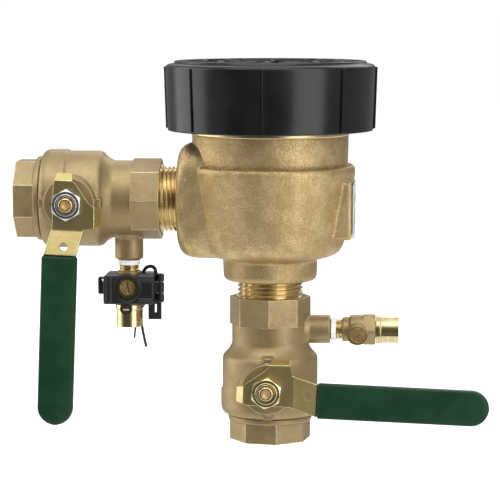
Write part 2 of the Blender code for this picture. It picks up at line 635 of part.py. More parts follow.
def bonnet_and_air_inlet():
    """The bonnet screws into the neck and carries the air inlet's float and seat."""
    bonnet = turned("bonnet", [
        (39.5, 172), (39.5, NECK_TOP + GAP), (35.1, NECK_TOP + GAP), (35.1, 166.8), (33, 166.8),
        (33, 163), (35.1, 163), (35.1, 146), (29.5, 146), (29.5, 160), (24, 160), (24, 172)], FINE)
    join(bonnet, rod("bonnet_hub", 7, 162, 181, COARSE))
    for i in range(3):
        join(bonnet, block(f"bonnet_arm_{i}", (5, -2.5, 167.5), (26, 2.5, 171.5), turn=(0, 0, 120 * i)))
    cut(bonnet, rod("float_guide_bore", 3.4, 161, 173, SMALL),
        rod("canopy_screw_bore", 2.6, 174.5, 182, SMALL))
    finish(bonnet, "brass")

    bm = bmesh.new()
    o_ring_r, o_ring_section, around, section_sides = 34.2, 0.8, 24, 5
    for i in range(around):
        angle = 2 * pi * i / around
        circle = bmesh.ops.create_circle(bm, segments=section_sides, radius=o_ring_section * MM)
        stand = (Matrix.Rotation(angle, 4, "Z") @ Matrix.Translation((o_ring_r * MM, 0, 164.9 * MM))
                 @ Matrix.Rotation(pi / 2, 4, "X"))
        bmesh.ops.transform(bm, verts=circle["verts"], matrix=stand)
    bmesh.ops.bridge_loops(bm, edges=bm.edges[:], use_cyclic=True)
    bmesh.ops.recalc_face_normals(bm, faces=bm.faces)
    finish(add_mesh("bonnet_o_ring", mesh_from("bonnet_o_ring", bm), None), "rubber")

    air_float = turned("air_float", [
        (0, 165.5), (3, 165.5), (3, 149.2), (20, 149.2), (20, 152.2), (21.7, 152.2), (21.7, 149.0),
        (28.2, 149.0), (28.2, 146.8), (0, 146.8)], MEDIUM)
    finish(air_float, "grey_plastic")
    finish(ring("float_seal", 22.1, 28.2, 149.3, 152.7, MEDIUM), "rubber")
    finish(coil("float_spring", 4.9, 0.5, 149.5, 161.6, 4), "steel")


def canopy_pieces():
    canopy = turned("canopy", [
        (8.6, 186.6), (8.6, CANOPY_PLATE), (45.8, CANOPY_PLATE), (46.6, CANOPY_TOP),
        (48.4, CANOPY_TOP), (49.2, CANOPY_SHOULDER + 0.4), (51.8, CANOPY_SHOULDER),
        (53.2, CANOPY_SHOULDER - 0.8), (CANOPY_R_TOP, CANOPY_SHOULDER - 2.2),
        (CANOPY_R_BOTTOM, CANOPY_BOTTOM + 0.6), (52.0, CANOPY_BOTTOM), (50.3, CANOPY_BOTTOM),
        (51.1, 187.9), (50.0, 189.1), (11, 189.1), (11, 181.3), (2.9, 181.3), (2.9, 186.6)], FINE)
    rib_low, rib_high = CANOPY_BOTTOM + 0.9, CANOPY_SHOULDER - 1.4
    rib_half, rib_middle = (rib_high - rib_low) / 2, (rib_high + rib_low) / 2
    taper = degrees(atan2(CANOPY_R_TOP - CANOPY_R_BOTTOM, CANOPY_SHOULDER - CANOPY_BOTTOM))
    for i in range(CANOPY_RIBS):
        around = frame(f"rib_frame_{i}", turn=(0, 0, 360 / CANOPY_RIBS * i))
        side = block(f"skirt_rib_{i}", (-1.6, -1.0, -rib_half), (0.8, 1.0, rib_half), around,
                     (53.0, 0, rib_middle), (0, taper, 0))
        top = block(f"top_rib_{i}", (12, -1.0, CANOPY_PLATE - 1), (47, 1.0, CANOPY_PLATE + 2.2), around)
        join(canopy, side, top)
    finish(canopy, "black_plastic")
    finish(ring("canopy_washer", 2.9, 7.8, 186.9, 187.9, COARSE), "steel")
    screw = rod("canopy_screw", 2.2, 176, 189, SMALL)
    join(screw, prism("canopy_screw_head", 6, 5.2, 188.2, 191.6))
    finish(screw, "steel")


# ---------------------------------------------------------------- lock clip

def clip_half(name, side, hinge_spans):
    """One half of the clip: side -1 is the front half and +1 the back half."""
    def across(near, far):
        return sorted((side * near, side * far))

    y_low, y_high = across(0.25, CLIP_DEPTH)
    shell = block(name, (CLIP_LOW[0], y_low, CLIP_LOW[1]), (CLIP_HIGH[0], y_high, CLIP_HIGH[1]),
                  bevel=0.8)
    ear_y = across(0.25, 1.7)
    ear = block(name + "_ear", (-88.9, ear_y[0], 74.3), (CLIP_LOW[0] + 1, ear_y[1], 83.2), bevel=0.5)
    eye_x, eye_z = (-73.3, 68.0) if side < 0 else (-68.9, 68.0)
    eye_front, eye_back = across(CLIP_DEPTH - 1.6, CLIP_DEPTH - 0.2)
    eye = rod(name + "_eye", 3.1, -eye_back, -eye_front, SMALL, None, (eye_x, 0, eye_z), (90, 0, 0))
    join(shell, ear, eye)
    if side > 0:
        join(shell, block(name + "_tail", (-63.2, 1.2, 60.9), (-56.4, 3.4, 72.6)))
    for i, (z_low, z_high) in enumerate(hinge_spans):
        leaf_y = across(0.4, KNUCKLE_R - 0.2)
        join(shell,
             block(f"{name}_leaf_{i}", (CLIP_HIGH[0] - 1, leaf_y[0], z_low + 0.1),
                   (HINGE_X, leaf_y[1], z_high - 0.1)),
             rod(f"{name}_knuckle_{i}", KNUCKLE_R, z_low, z_high, SMALL, None, (HINGE_X, 0, 0)))
    inside_y = across(-1, CLIP_DEPTH - CLIP_WALL)
    room = block(name + "_room",
                 (CLIP_LOW[0] + CLIP_WALL, inside_y[0], CLIP_LOW[1] + CLIP_WALL),
                 (CLIP_HIGH[0] - CLIP_WALL, inside_y[1], CLIP_HIGH[1] - CLIP_WALL))
    return shell, room, (eye_x, eye_z)


def lock_clip(cock_x, stem_z):
    """A hinged box that shuts round the test cock, held by a nylon tie."""
    middle = (75.0, 80.6)
    outer = ((CLIP_LOW[1], middle[0] - GAP), (middle[1] + GAP, CLIP_HIGH[1]))
    halves = {"lock_clip_front": (-1, (middle,)), "lock_clip_back": (1, outer)}
    for name, (side, spans) in halves.items():
        shell, room, (eye_x, eye_z) = clip_half(name, side, spans)
        if side < 0:
            join(shell, rod(name + "_window_ring", 7.0, 8, 12.6, COARSE, None,
                            (cock_x, 0, stem_z), (90, 0, 0)))
        else:
            join(shell,
                 wire(name + "_strap", [(-66.4, 4.0, 84.0), (-65.4, 3.4, 86.4), (-63.8, 2.9, 88.0),
                                        (-61.9, 2.6, 88.5), (-60.2, 2.5, 87.8), (-59.4, 2.6, 86.2),
                                        (-59.6, 3.0, 83.6)], 0.95))
        cut(shell, room,
            turned(name + "_cock_room", [(0, 95), (6.8, 95), (6.8, 82.9), (8.9, 82.9), (8.9, 60),
                                         (0, 60)], COARSE, None, (cock_x, 0, 0)),
            rod(name + "_pin_bore", 1.0, 60, 95, SMALL, None, (HINGE_X, 0, 0)),
            rod(name + "_ear_hole", 0.9, -5, 5, SMALL, None, (-86.2, 0, 81.4), (90, 0, 0)),
            rod(name + "_eye_hole", 1.7, -14, 14, SMALL, None, (eye_x, 0, eye_z), (90, 0, 0)))
        if side < 0:
            cut(shell, rod(name + "_window", 5.5, 5, 14, COARSE, None, (cock_x, 0, stem_z), (90, 0, 0)))
        else:
            cut(shell, block(name + "_tail_slot", (-59.9, 0, 64.5), (-58.8, 5, 69.0)))
        finish(shell, "black_plastic")
    pin = rod("lock_clip_pin", 0.7, CLIP_LOW[1] + 0.2, CLIP_HIGH[1] + 0.4, SMALL, None, (HINGE_X, 0, 0))
    finish(pin, "steel")
    tie = wire("lock_tie", [
        (-71.3, 8.3, 50.0), (-70.8, 8.4, 55.0), (-70.2, 8.6, 60.0), (-69.5, 8.8, 64.5),
        (-69.0, 9.0, 67.0), (-68.9, 10.6, 67.8), (-68.8, 12.4, 67.2), (-68.6, 13.0, 65.0),
        (-68.2, 12.6, 60.0), (-67.6, 12.2, 55.0), (-66.6, 11.8, 50.0), (-65.5, 11.6, 45.0)], TIE_R)
    finish(tie, "black_plastic")


# ---------------------------------------------------------------- assembly

outlet_axis_frame = frame("outlet_axis", at=(0, 0, OUTLET_Z), turn=(0, -90, 0))
bowl_body(outlet_axis_frame)
nipples(outlet_axis_frame)
check_valve()
bonnet_and_air_inlet()
canopy_pieces()

inlet_valve = ball_valve("inlet_valve", (0, 0, 0), (0, 0, 0), cap_turn=90 + 11.2, nut_turn=25)
outlet_valve = ball_valve("outlet_valve", (OUTLET_VALVE_X, 0, OUTLET_Z), (0, 90, 0),
                          cap_turn=22.5, nut_turn=0)
test_cock("inlet_cock", inlet_valve, stem_tilt=13, slot_turn=0)
test_cock("outlet_cock", outlet_valve, stem_tilt=0, slot_turn=103)
lock_clip(OUTLET_VALVE_X + COCK_Z, OUTLET_Z - COCK_REACH - COCK_STEM_Z)
bpy.context.view_layer.update()
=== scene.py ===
"""Looks of the pressure vacuum breaker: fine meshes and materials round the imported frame.

Meshes are drawn in millimetres in local frames and stored in metres in the row frame, so every
piece sits at the origin. +Z runs up the inlet pipe, the outlet pipe runs towards -X, and both
levers are on the -Y side.
"""
import json
from math import atan2, cos, pi, radians, sin

import bmesh
import bpy
from mathutils import Euler, Matrix, Vector

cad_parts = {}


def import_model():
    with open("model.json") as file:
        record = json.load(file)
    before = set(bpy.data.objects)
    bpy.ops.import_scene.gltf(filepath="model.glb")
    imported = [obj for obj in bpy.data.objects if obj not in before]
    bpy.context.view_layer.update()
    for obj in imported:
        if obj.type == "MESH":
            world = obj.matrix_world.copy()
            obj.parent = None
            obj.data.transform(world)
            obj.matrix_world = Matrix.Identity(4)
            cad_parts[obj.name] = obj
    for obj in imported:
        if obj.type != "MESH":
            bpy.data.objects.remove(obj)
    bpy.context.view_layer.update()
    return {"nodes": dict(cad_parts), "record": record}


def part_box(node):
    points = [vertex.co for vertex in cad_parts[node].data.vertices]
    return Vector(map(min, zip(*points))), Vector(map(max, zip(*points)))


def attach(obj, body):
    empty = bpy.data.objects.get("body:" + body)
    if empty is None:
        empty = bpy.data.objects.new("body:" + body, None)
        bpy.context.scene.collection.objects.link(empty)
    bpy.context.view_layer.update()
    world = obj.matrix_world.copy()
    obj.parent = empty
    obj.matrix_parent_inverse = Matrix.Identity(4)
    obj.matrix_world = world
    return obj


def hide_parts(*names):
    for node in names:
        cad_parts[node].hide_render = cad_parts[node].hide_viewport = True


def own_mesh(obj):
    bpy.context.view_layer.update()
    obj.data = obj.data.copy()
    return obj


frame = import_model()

MM = 0.001
BODY_OF = {node: body for body, nodes in frame["record"]["behaviour"]["bodies"].items() for node in nodes}


def low_mm(node):
    """Low corner of a CAD node's box, in millimetres."""
    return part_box(node)[0] / MM


def high_mm(node):
    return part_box(node)[1] / MM


def middle(node):
    return (low_mm(node) + high_mm(node)) / 2


# ---------------------------------------------------------------- dimensions, in millimetres

BALL_Z = middle("inlet_valve_ball").z
OUTLET_Z = middle("outlet_valve_ball").z
OUTLET_X = low_mm("outlet_valve_end_cap").x      # the outlet valve's free end
VALVE_LENGTH = high_mm("inlet_valve_body").z
HUB_BOTTOM = low_mm("body").z
CANOPY_BOTTOM = low_mm("canopy").z
CANOPY_TOP = high_mm("canopy").z
COCK_REACH = high_mm("inlet_valve_body").x
COCK_Z = middle("inlet_cock_nozzle").z
LABEL_X = high_mm("label_plate").x

# the bowl: its bores, its outlet boss and the machined lip round its mouth
THROAT_R, MOUTH_R, BOSS_END = 12.5, 35.5, 47.0
LIP_R, LIP_LOW, NECK_TOP = 39.9, 156.8, 168.0
# pipe threads
THREAD_R, SOCKET_R, PIPE_PITCH = 16.7, 17.0, 2.21
# ball valves: z runs from the cap towards the neck, or out of the pad along the stem
BARREL_R, BARREL_BASE_R, NECK_R, NECK_OCTAGON_Z = 24.5, 25.3, 19.6, 59.5
CAP_OCTAGON_R, NECK_OCTAGON_R, CAP_LENGTH, OCTAGON_EASE = 21.1, 20.9, 11.2, 0.45
CAP_FLANGE_R, CAP_FLANGE_END = 21.6, 13.0
PORT_R, BALL_R, SEAT_R = 12.0, 17.5, 12.2
PAD_R, PAD_TOP = 13.0, 28.5
STEM_R, STEM_BORE_R, STEM_TOP = 3.9, 4.3, 41.5
# levers and grips
LEVER_LOW, LEVER_THICK, LEVER_LIFT = 32.0, 2.3, 5.2
LEVER_DROOP, LEVER_OFFSET, ARM_START, ARM_STEP_END = 2.2, -2.4, 12.5, 26.1
GRIP_START, GRIP_LENGTH, GRIP_WIDTH, GRIP_THICK, GRIP_TAIL = 25.8, 85.2, 18.0, 7.0, 9.5
# test cocks: z runs out of the valve, or out of the cock along its stem
COCK_STEM_Z, COCK_LENGTH, COCK_BORE_R = 14.0, 35.0, 2.4
# lock clip: low and high corner in X and Z, and how far each half reaches in Y
CLIP_LOW, CLIP_HIGH, CLIP_DEPTH, CLIP_WALL = (-85.0, 70.3), (-59.0, 85.0), 11.5, 1.5
CLIP_SPLIT, RAIL_RISE = 0.25, 0.55
HINGE_X, KNUCKLE_R, KNUCKLE_GAP = -56.6, 1.9, 0.3


# ---------------------------------------------------------------- mesh helpers

def stand(at=(0, 0, 0), turn=(0, 0, 0), parent=Matrix.Identity(4)):
    """A local frame: `at` in millimetres and `turn` in degrees, inside its parent."""
    return parent @ Matrix.Translation(at) @ Euler([radians(a) for a in turn]).to_matrix().to_4x4()


UPRIGHT = stand()
OUTLET_AXIS = stand((0, 0, OUTLET_Z), (0, -90, 0))
HINGE_AXIS = stand((HINGE_X, 0, 0))


def link(name, data):
    obj = bpy.data.objects.new(name, data)
    bpy.context.scene.collection.objects.link(obj)
    return obj


def link_mesh(name, bm):
    mesh = bpy.data.meshes.new(name)
    bm.to_mesh(mesh)
    bm.free()
    return link(name, mesh)


def new_object(name, bm, where):
    """A piece from a mesh drawn in the local frame `where`."""
    bmesh.ops.transform(bm, verts=bm.verts, matrix=Matrix.Scale(MM, 4) @ where)
    bmesh.ops.recalc_face_normals(bm, faces=bm.faces)
    return link_mesh(name, bm)


def skin(name, rings, where=UPRIGHT, closed=False):
    """A closed skin through rings of points: its ends are filled, or the last ring meets the first."""
    bm = bmesh.new()
    rows = [[bm.verts.new(point) for point in points] for points in rings]
    count = len(rows[0])
    pairs = list(zip(rows, rows[1:]))
    if closed:
        pairs.append((rows[-1], rows[0]))
    for near, far in pairs:
        for i in range(count):
            j = (i + 1) % count
            bm.faces.new((near[i], near[j], far[j], far[i]))
    if not closed:
        for row in (rows[0], rows[-1]):
            hub = bm.verts.new(sum((v.co for v in row), Vector()) / count)
            for i in range(count):
                bm.faces.new((row[i], row[(i + 1) % count], hub))
    return new_object(name, bm, where)


def turns(steps):
    """The angles of equal steps round a circle."""
    return [2 * pi * i / steps for i in range(steps)]


def ring(radius_at, z, steps):
    """Points round Z; radius_at gives the radius at an angle."""
    return [(radius_at(a) * cos(a), radius_at(a) * sin(a), z) for a in turns(steps)]


def rounded(outline, reach, closed):
    """The outline with each corner replaced by a small curve that starts `reach` before it."""
    arc = 4
    points = [Vector(p) for p in outline]
    count = len(points)
    result = []
    for i, corner in enumerate(points):
        if not closed and i in (0, count - 1):
            result.append(tuple(corner))
            continue
        before, after = points[i - 1] - corner, points[(i + 1) % count] - corner
        near = min(reach, 0.45 * before.length, 0.45 * after.length)
        start, end = corner + before.normalized() * near, corner + after.normalized() * near
        for k in range(arc + 1):
            t = k / arc
            result.append(tuple((1 - t) ** 2 * start + 2 * t * (1 - t) * corner + t ** 2 * end))
    return result


def turned(name, outline, where=UPRIGHT, reach=0.0, steps=96, closed=False):
    """A solid of revolution about Z through (radius, z) points: flat at both ends, or a closed ring."""
    if reach:
        outline = rounded(outline, reach, closed)
    return skin(name, [ring(lambda angle: r, z, steps) for r, z in outline], where, closed)


def turned_ring(name, outline, where=UPRIGHT, reach=0.0, steps=96):
    return turned(name, outline, where, reach, steps, closed=True)


def flat_ring(name, inner_r, outer_r, z_low, z_high, where, reach):
    outline = [(inner_r, z_low), (outer_r, z_low), (outer_r, z_high), (inner_r, z_high)]
    return turned_ring(name, outline, where, reach, 64)


def rod(name, radius, z_low, z_high, where=UPRIGHT, reach=0.0, steps=64):
    outline = [(radius, z_low), (radius, z_high)]
    if reach:
        outline = [(radius - reach, z_low), (radius, z_low + reach), (radius, z_high - reach),
                   (radius - reach, z_high)]
    return turned(name, outline, where, reach * 0.8, steps)


def hexagon_radius(angle, corner_r):
    """Distance to a hexagon's edge, with its corners cut a little short."""
    sides, soften = 6, 0.985
    sector = 2 * pi / sides
    off = (angle + sector / 2) % sector - sector / 2
    flat = corner_r * cos(sector / 2)
    return min(flat / cos(sector / 2 - abs(off)), corner_r * soften)


def hexagon(name, corner_r, z_low, z_high, where, chamfer, slope, steps, both_ends=True):
    """A hexagonal prism turned to a cone at its top, and at its foot when both_ends is set."""
    layers = 40
    rings = []
    for i in range(layers + 1):
        z = z_low + (z_high - z_low) * i / layers
        cone = corner_r - chamfer + (z_high - z) / slope
        if both_ends:
            cone = min(cone, corner_r - chamfer + (z - z_low) / slope)
        rings.append(ring(lambda angle: min(cone, hexagon_radius(angle, corner_r)), z, steps))
    return skin(name, rings, where)


def octagon_end(name, corner_r, z_low, z_high, where):
    """An eight-sided wrench end with a corner on the X axis and eased edges, coloured lighter as painted
    highlight and wear.
    """
    bm = bmesh.new()
    bmesh.ops.create_cone(bm, cap_ends=True, segments=8, radius1=corner_r, radius2=corner_r,
                          depth=z_high - z_low)
    corner = max(bm.verts, key=lambda v: v.co.x).co
    bmesh.ops.rotate(bm, verts=bm.verts, matrix=Matrix.Rotation(-atan2(corner.y, corner.x), 3, "Z"))
    bmesh.ops.translate(bm, verts=bm.verts, vec=(0, 0, (z_low + z_high) / 2))
    bmesh.ops.bevel(bm, geom=bm.edges[:], offset=OCTAGON_EASE, segments=3, affect="EDGES", profile=0.5,
                    material=1)
    end = new_object(name, bm, where)
    for look in ("milled_bronze", "worn_and_highlit_bronze"):
        end.data.materials.append(LOOKS[look])
    return end


def threaded(name, crest_r, depth, pitch, z_low, z_high, where=UPRIGHT, steps=96, inside=False):
    """A rod with a V thread that climbs one pitch a turn; it fades at both ends unless it cuts an inside."""
    per_pitch, steepness, crest_flat = 10, 1.3, 0.15
    count = int((z_high - z_low) / pitch * per_pitch)
    rings = []
    for k in range(count + 1):
        z = z_low + (z_high - z_low) * k / count
        fade = 1.0 if inside else min(1.0, (z - z_low) / pitch, (z_high - z) / pitch)

        def ridge(angle):
            phase = (z / pitch - angle / (2 * pi)) % 1
            valley = min(1.0, max(0.0, abs(2 * phase - 1) * steepness - crest_flat))
            return crest_r - depth * (1 - (1 - valley) * fade)

        rings.append(ring(ridge, z, steps))
    return skin(name, rings, where)


def block(name, low, high, where=UPRIGHT, bevel=0.0):
    bm = bmesh.new()
    bmesh.ops.create_cube(bm, size=1)
    bmesh.ops.scale(bm, verts=bm.verts, vec=Vector(high) - Vector(low))
    bmesh.ops.translate(bm, verts=bm.verts, vec=(Vector(high) + Vector(low)) / 2)
    if bevel:
        bmesh.ops.bevel(bm, geom=bm.edges[:], offset=bevel, segments=3, affect="EDGES", profile=0.5)
    return new_object(name, bm, where)


def sphere(name, radius, across, where):
    bm = bmesh.new()
    bmesh.ops.create_uvsphere(bm, u_segments=across * 3, v_segments=across * 2, radius=radius)
    return new_object(name, bm, where)


def tube(name, points, radii):
    """A round bar through points, with a radius for each."""
    sides = 14
    points = [Vector(p) for p in points]
    rings = []
    side = None
    for i, point in enumerate(points):
        along = (points[min(i + 1, len(points) - 1)] - points[max(i - 1, 0)]).normalized()
        side = along.orthogonal() if side is None else side - along * side.dot(along)
        side.normalize()
        up = along.cross(side)
        rings.append([point + radii[i] * (side * cos(a) + up * sin(a)) for a in turns(sides)])
    return skin(name, rings)


def smooth_path(points):
    """A Catmull-Rom curve through the points."""
    per_span = 6
    points = [Vector(p) for p in points]
    ends = [points[0] * 2 - points[1], *points, points[-1] * 2 - points[-2]]
    path = []
    for a, b, c, d in zip(ends, ends[1:], ends[2:], ends[3:]):
        for k in range(per_span):
            t = k / per_span
            path.append(0.5 * (2 * b + (c - a) * t + (2 * a - 5 * b + 4 * c - d) * t ** 2
                               + (3 * b - a - 3 * c + d) * t ** 3))
    return path + [points[-1]]


def modify(obj, kind, **settings):
    """Add a modifier with these settings."""
    made = obj.modifiers.new(kind.lower(), kind)
    for key, value in settings.items():
        setattr(made, key, value)


def bake(obj):
    """Put the modifiers' result into the mesh."""
    evaluated = obj.evaluated_get(bpy.context.evaluated_depsgraph_get())
    mesh = bpy.data.meshes.new_from_object(evaluated)
    obj.modifiers.clear()
    old, obj.data = obj.data, mesh
    bpy.data.meshes.remove(old)
    return obj


def paint(obj, *looks):
    """Fill the material slots with these looks, in order."""
    obj.data.materials.clear()
    for look in looks:
        obj.data.materials.append(LOOKS[look])
    return obj


def gather(name, solids):
    """Several closed solids in one mesh, overlapping as they are."""
    bm = bmesh.new()
    for solid in solids:
        bm.from_mesh(solid.data)
        bpy.data.objects.remove(solid, do_unlink=True)
    return link_mesh(name, bm)


def boolean(obj, operation, *tools):
    """Join or cut with closed tools; cut faces keep the tool's material."""
    for tool in tools:
        modify(obj, "BOOLEAN", operation=operation, solver="MANIFOLD", object=tool, material_mode="TRANSFER")
    bake(obj)
    for tool in tools:
        bpy.data.objects.remove(tool, do_unlink=True)
    return obj


def join(obj, *tools):
    return boolean(obj, "UNION", *tools)


def cut(obj, look, *tools):
    """Cut with closed tools that leave a look on the cut faces, or none."""
    if look:
        for tool in tools:
            paint(tool, look)
    return boolean(obj, "DIFFERENCE", *tools)


def melt(name, solids, voxel, smooth, grain=0, grain_size=0):
    """Solids run together as one casting or moulding, with soft inner corners and maybe a grainy skin."""
    obj = gather(name, solids)
    modify(obj, "REMESH", mode="VOXEL", voxel_size=voxel * MM)
    modify(obj, "SMOOTH", factor=0.5, iterations=smooth)
    if grain:
        clouds = bpy.data.textures.new(name + "_grain", "CLOUDS")
        clouds.noise_scale = grain_size * MM
        clouds.noise_depth = 2
        modify(obj, "DISPLACE", texture=clouds, texture_coords="LOCAL", mid_level=0.5, strength=grain * MM)
    return bake(obj)


def show(obj, look, *nodes, sharp=32):
    """Shade a finished piece and let it stand for its CAD nodes, on their body."""
    if look:
        paint(obj, look)
    obj.data.shade_smooth()
    obj.data.set_sharp_from_angle(angle=radians(sharp))
    modify(obj, "WEIGHTED_NORMAL", keep_sharp=True)
    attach(obj, BODY_OF[nodes[0]])
    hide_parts(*nodes)
    return obj


# ---------------------------------------------------------------- materials

def grey(value):
    return (value, value, value)


class Graph:
    """Builds the node tree of a material or a world."""

    FACTOR, FIRST, SECOND, MIXED = 0, 6, 7, 2      # the colour sockets of a Mix node

    def __init__(self, owner):
        owner.use_nodes = True
        self.tree = owner.node_tree

    def node(self, kind, inputs=None, **settings):
        made = self.tree.nodes.new(kind)
        for key, value in settings.items():
            setattr(made, key, value)
        for key, value in (inputs or {}).items():
            if isinstance(value, bpy.types.NodeSocket):
                self.tree.links.new(value, made.inputs[key])
            else:
                made.inputs[key].default_value = value
        return made

    def ramp(self, value, low=0.3, high=0.7, out_low=0.0, out_high=1.0):
        """A smooth step from out_low at `low` to out_high at `high`."""
        return self.node("ShaderNodeMapRange", {0: value, 1: low, 2: high, 3: out_low, 4: out_high},
                         interpolation_type="SMOOTHSTEP").outputs[0]

    def mix(self, factor, first, second):
        """The first colour where factor is 0, and the second where it is 1."""
        inputs = {self.FACTOR: factor, self.FIRST: first, self.SECOND: second}
        for key in (self.FIRST, self.SECOND):
            if isinstance(inputs[key], tuple):
                inputs[key] = (*inputs[key], 1)
        return self.node("ShaderNodeMix", inputs, data_type="RGBA").outputs[self.MIXED]

    def math(self, operation, first, second):
        return self.node("ShaderNodeMath", {0: first, 1: second}, operation=operation).outputs[0]


class Look(Graph):
    """A Principled material whose textures are measured in millimetres of the row frame."""

    def __init__(self, name, **sockets):
        self.material = bpy.data.materials.new(name)
        super().__init__(self.material)
        self.shader = self.tree.nodes["Principled BSDF"]
        for socket, value in sockets.items():
            self.shader.inputs[socket.replace("_", " ")].default_value = value
        self.place = self.node("ShaderNodeTexCoord").outputs["Object"]

    def scaled(self, size, stretch=(1, 1, 1)):
        scale = [1 / (MM * size * s) for s in stretch]
        return self.node("ShaderNodeMapping", {"Vector": self.place, "Scale": scale}).outputs[0]

    def noise(self, size, detail=3.0, roughness=0.55, stretch=(1, 1, 1)):
        """Features of about `size` millimetres; stretch above 1 draws them out along an axis."""
        inputs = {"Vector": self.scaled(size, stretch), "Scale": 1.0, "Detail": detail,
                  "Roughness": roughness}
        return self.node("ShaderNodeTexNoise", inputs).outputs["Fac"]

    def cells(self, size):
        inputs = {"Vector": self.scaled(size), "Scale": 1.0}
        return self.node("ShaderNodeTexVoronoi", inputs).outputs["Distance"]

    def relief(self, low, high):
        """0 at `low` and 1 at `high`, where 0.5 is flat, less is a hollow and more is an edge."""
        return self.ramp(self.node("ShaderNodeNewGeometry").outputs["Pointiness"], low, high)

    def finish(self, colour, roughness, *layers):
        """Join up the colour, the roughness and bumps of (height output, depth in millimetres)."""
        normal = None
        for height, depth in layers:
            inputs = {"Height": height, "Distance": depth * MM, "Strength": 1.0}
            if normal is not None:
                inputs["Normal"] = normal
            normal = self.node("ShaderNodeBump", inputs).outputs[0]
        for socket, output in (("Base Color", colour), ("Roughness", roughness), ("Normal", normal)):
            self.tree.links.new(output, self.shader.inputs[socket])
        return self.material


def cast_bronze():
    """Sand-cast bronze, shot-blasted: finely pebbled, golden, with bright specks and worn high spots."""
    look = Look("cast_bronze", Metallic=0.85, Roughness=0.42)
    patches = look.ramp(look.noise(9, 5, 0.6), 0.38, 0.64)
    grit = look.noise(0.75, 4, 0.65)
    specks = look.ramp(look.noise(0.6, 3, 0.7), 0.60, 0.74)
    worn = look.math("MULTIPLY", look.relief(0.53, 0.62), look.ramp(look.noise(2.5), 0.3, 0.6))
    colour = look.mix(patches, (0.55, 0.40, 0.185), (0.70, 0.525, 0.27))
    colour = look.mix(look.ramp(grit, 0.36, 0.60), look.mix(0.38, colour, (0.20, 0.13, 0.05)), colour)
    colour = look.mix(specks, colour, (0.95, 0.82, 0.52))
    # painted shade and grime: darker in the hollows
    colour = look.mix(look.relief(0.49, 0.42), colour, (0.09, 0.055, 0.02))
    colour = look.mix(worn, colour, (0.92, 0.80, 0.52))
    return look.finish(colour, look.ramp(grit, 0.3, 0.7, 0.50, 0.30), (look.noise(7, 2), 0.30),
                       (look.cells(0.9), 0.10), (grit, 0.19), (look.noise(0.3, 2), 0.04))


def satin_bronze(name, grime_and_shade):
    """Finely blasted bronze of the valves; one of the two has painted shade and grime darkening its hollows.
    """
    look = Look(name, Metallic=0.74, Roughness=0.5)
    patches = look.ramp(look.noise(22, 3), 0.35, 0.68)
    fine = look.noise(0.5, 4, 0.65)
    specks = look.ramp(look.noise(0.4, 3, 0.7), 0.62, 0.76)
    colour = look.mix(patches, (0.365, 0.270, 0.132), (0.450, 0.340, 0.178))
    colour = look.mix(look.ramp(fine, 0.35, 0.65), look.mix(0.3, colour, (0.16, 0.105, 0.045)), colour)
    colour = look.mix(specks, colour, (0.70, 0.60, 0.38))
    if grime_and_shade:
        # painted shade and grime: darker where the surface is hollow
        colour = look.mix(look.relief(0.492, 0.43), colour, (0.10, 0.06, 0.025))
    return look.finish(colour, look.ramp(look.noise(3, 3), 0.3, 0.7, 0.38, 0.50), (fine, 0.08),
                       (look.noise(1.6, 3), 0.07))


def turned_metal(name, light, dark, axis, roughness=0.2, mark=0.45):
    """Machined metal with tool marks that run round `axis` (0, 1 or 2 for X, Y or Z)."""
    look = Look(name, Metallic=1.0, Roughness=roughness, Anisotropic=0.35)
    stretch = [60, 60, 60]
    stretch[axis] = 1
    marks = look.noise(mark, 2, 0.5, stretch)
    stains = look.ramp(look.noise(6, 3), 0.45, 0.75)
    stained = look.math("MULTIPLY", stains, look.ramp(marks, 0.2, 0.9, 0.2, 0.5))
    colour = look.mix(look.ramp(marks), dark, light)
    colour = look.mix(stained, colour, tuple(c * 0.7 for c in dark))
    return look.finish(colour, look.ramp(marks, 0.3, 0.7, roughness * 1.35, roughness * 0.75),
                       (marks, 0.02), (look.noise(5, 2), 0.04))


def machined_brass(axis):
    return turned_metal("machined_brass_" + "xyz"[axis], (0.92, 0.77, 0.45), (0.68, 0.51, 0.25), axis)


def bright_steel(axis):
    return turned_metal("bright_steel_" + "xyz"[axis], (0.80, 0.80, 0.78), (0.62, 0.61, 0.58), axis, 0.18,
                        0.3)


def yellow_zinc():
    """Steel plate under yellow zinc chromate, with its faint rainbow."""
    look = Look("yellow_zinc", Metallic=0.95, Roughness=0.3)
    sweep = look.noise(13, 2, 0.35)
    rolled = look.noise(0.5, 3, 0.6, (1, 1, 14))
    colour = look.mix(look.ramp(sweep, 0.34, 0.62), (0.62, 0.53, 0.21), (0.74, 0.57, 0.27))
    colour = look.mix(look.ramp(sweep, 0.60, 0.74, 0.0, 0.4), colour, (0.56, 0.55, 0.28))
    colour = look.mix(look.ramp(rolled, 0.3, 0.7, 0.14, 0.0), colour, (0.30, 0.24, 0.09))
    return look.finish(colour, look.ramp(rolled, 0.3, 0.7, 0.35, 0.27), (rolled, 0.012),
                       (look.noise(9, 2), 0.12))


def soft_metal(name, light, dark, roughness, metallic=0.9):
    """Metal worn smooth, as along an edge; on eased edges its lighter colour also stands in for a painted
    highlight.
    """
    look = Look(name, Metallic=metallic, Roughness=roughness)
    gloss = look.ramp(look.noise(0.8, 2), 0.3, 0.7, roughness * 0.8, roughness * 1.25)
    return look.finish(look.mix(look.ramp(look.noise(1.8, 3), 0.3, 0.65), dark, light), gloss,
                       (look.noise(0.6, 2), 0.02))


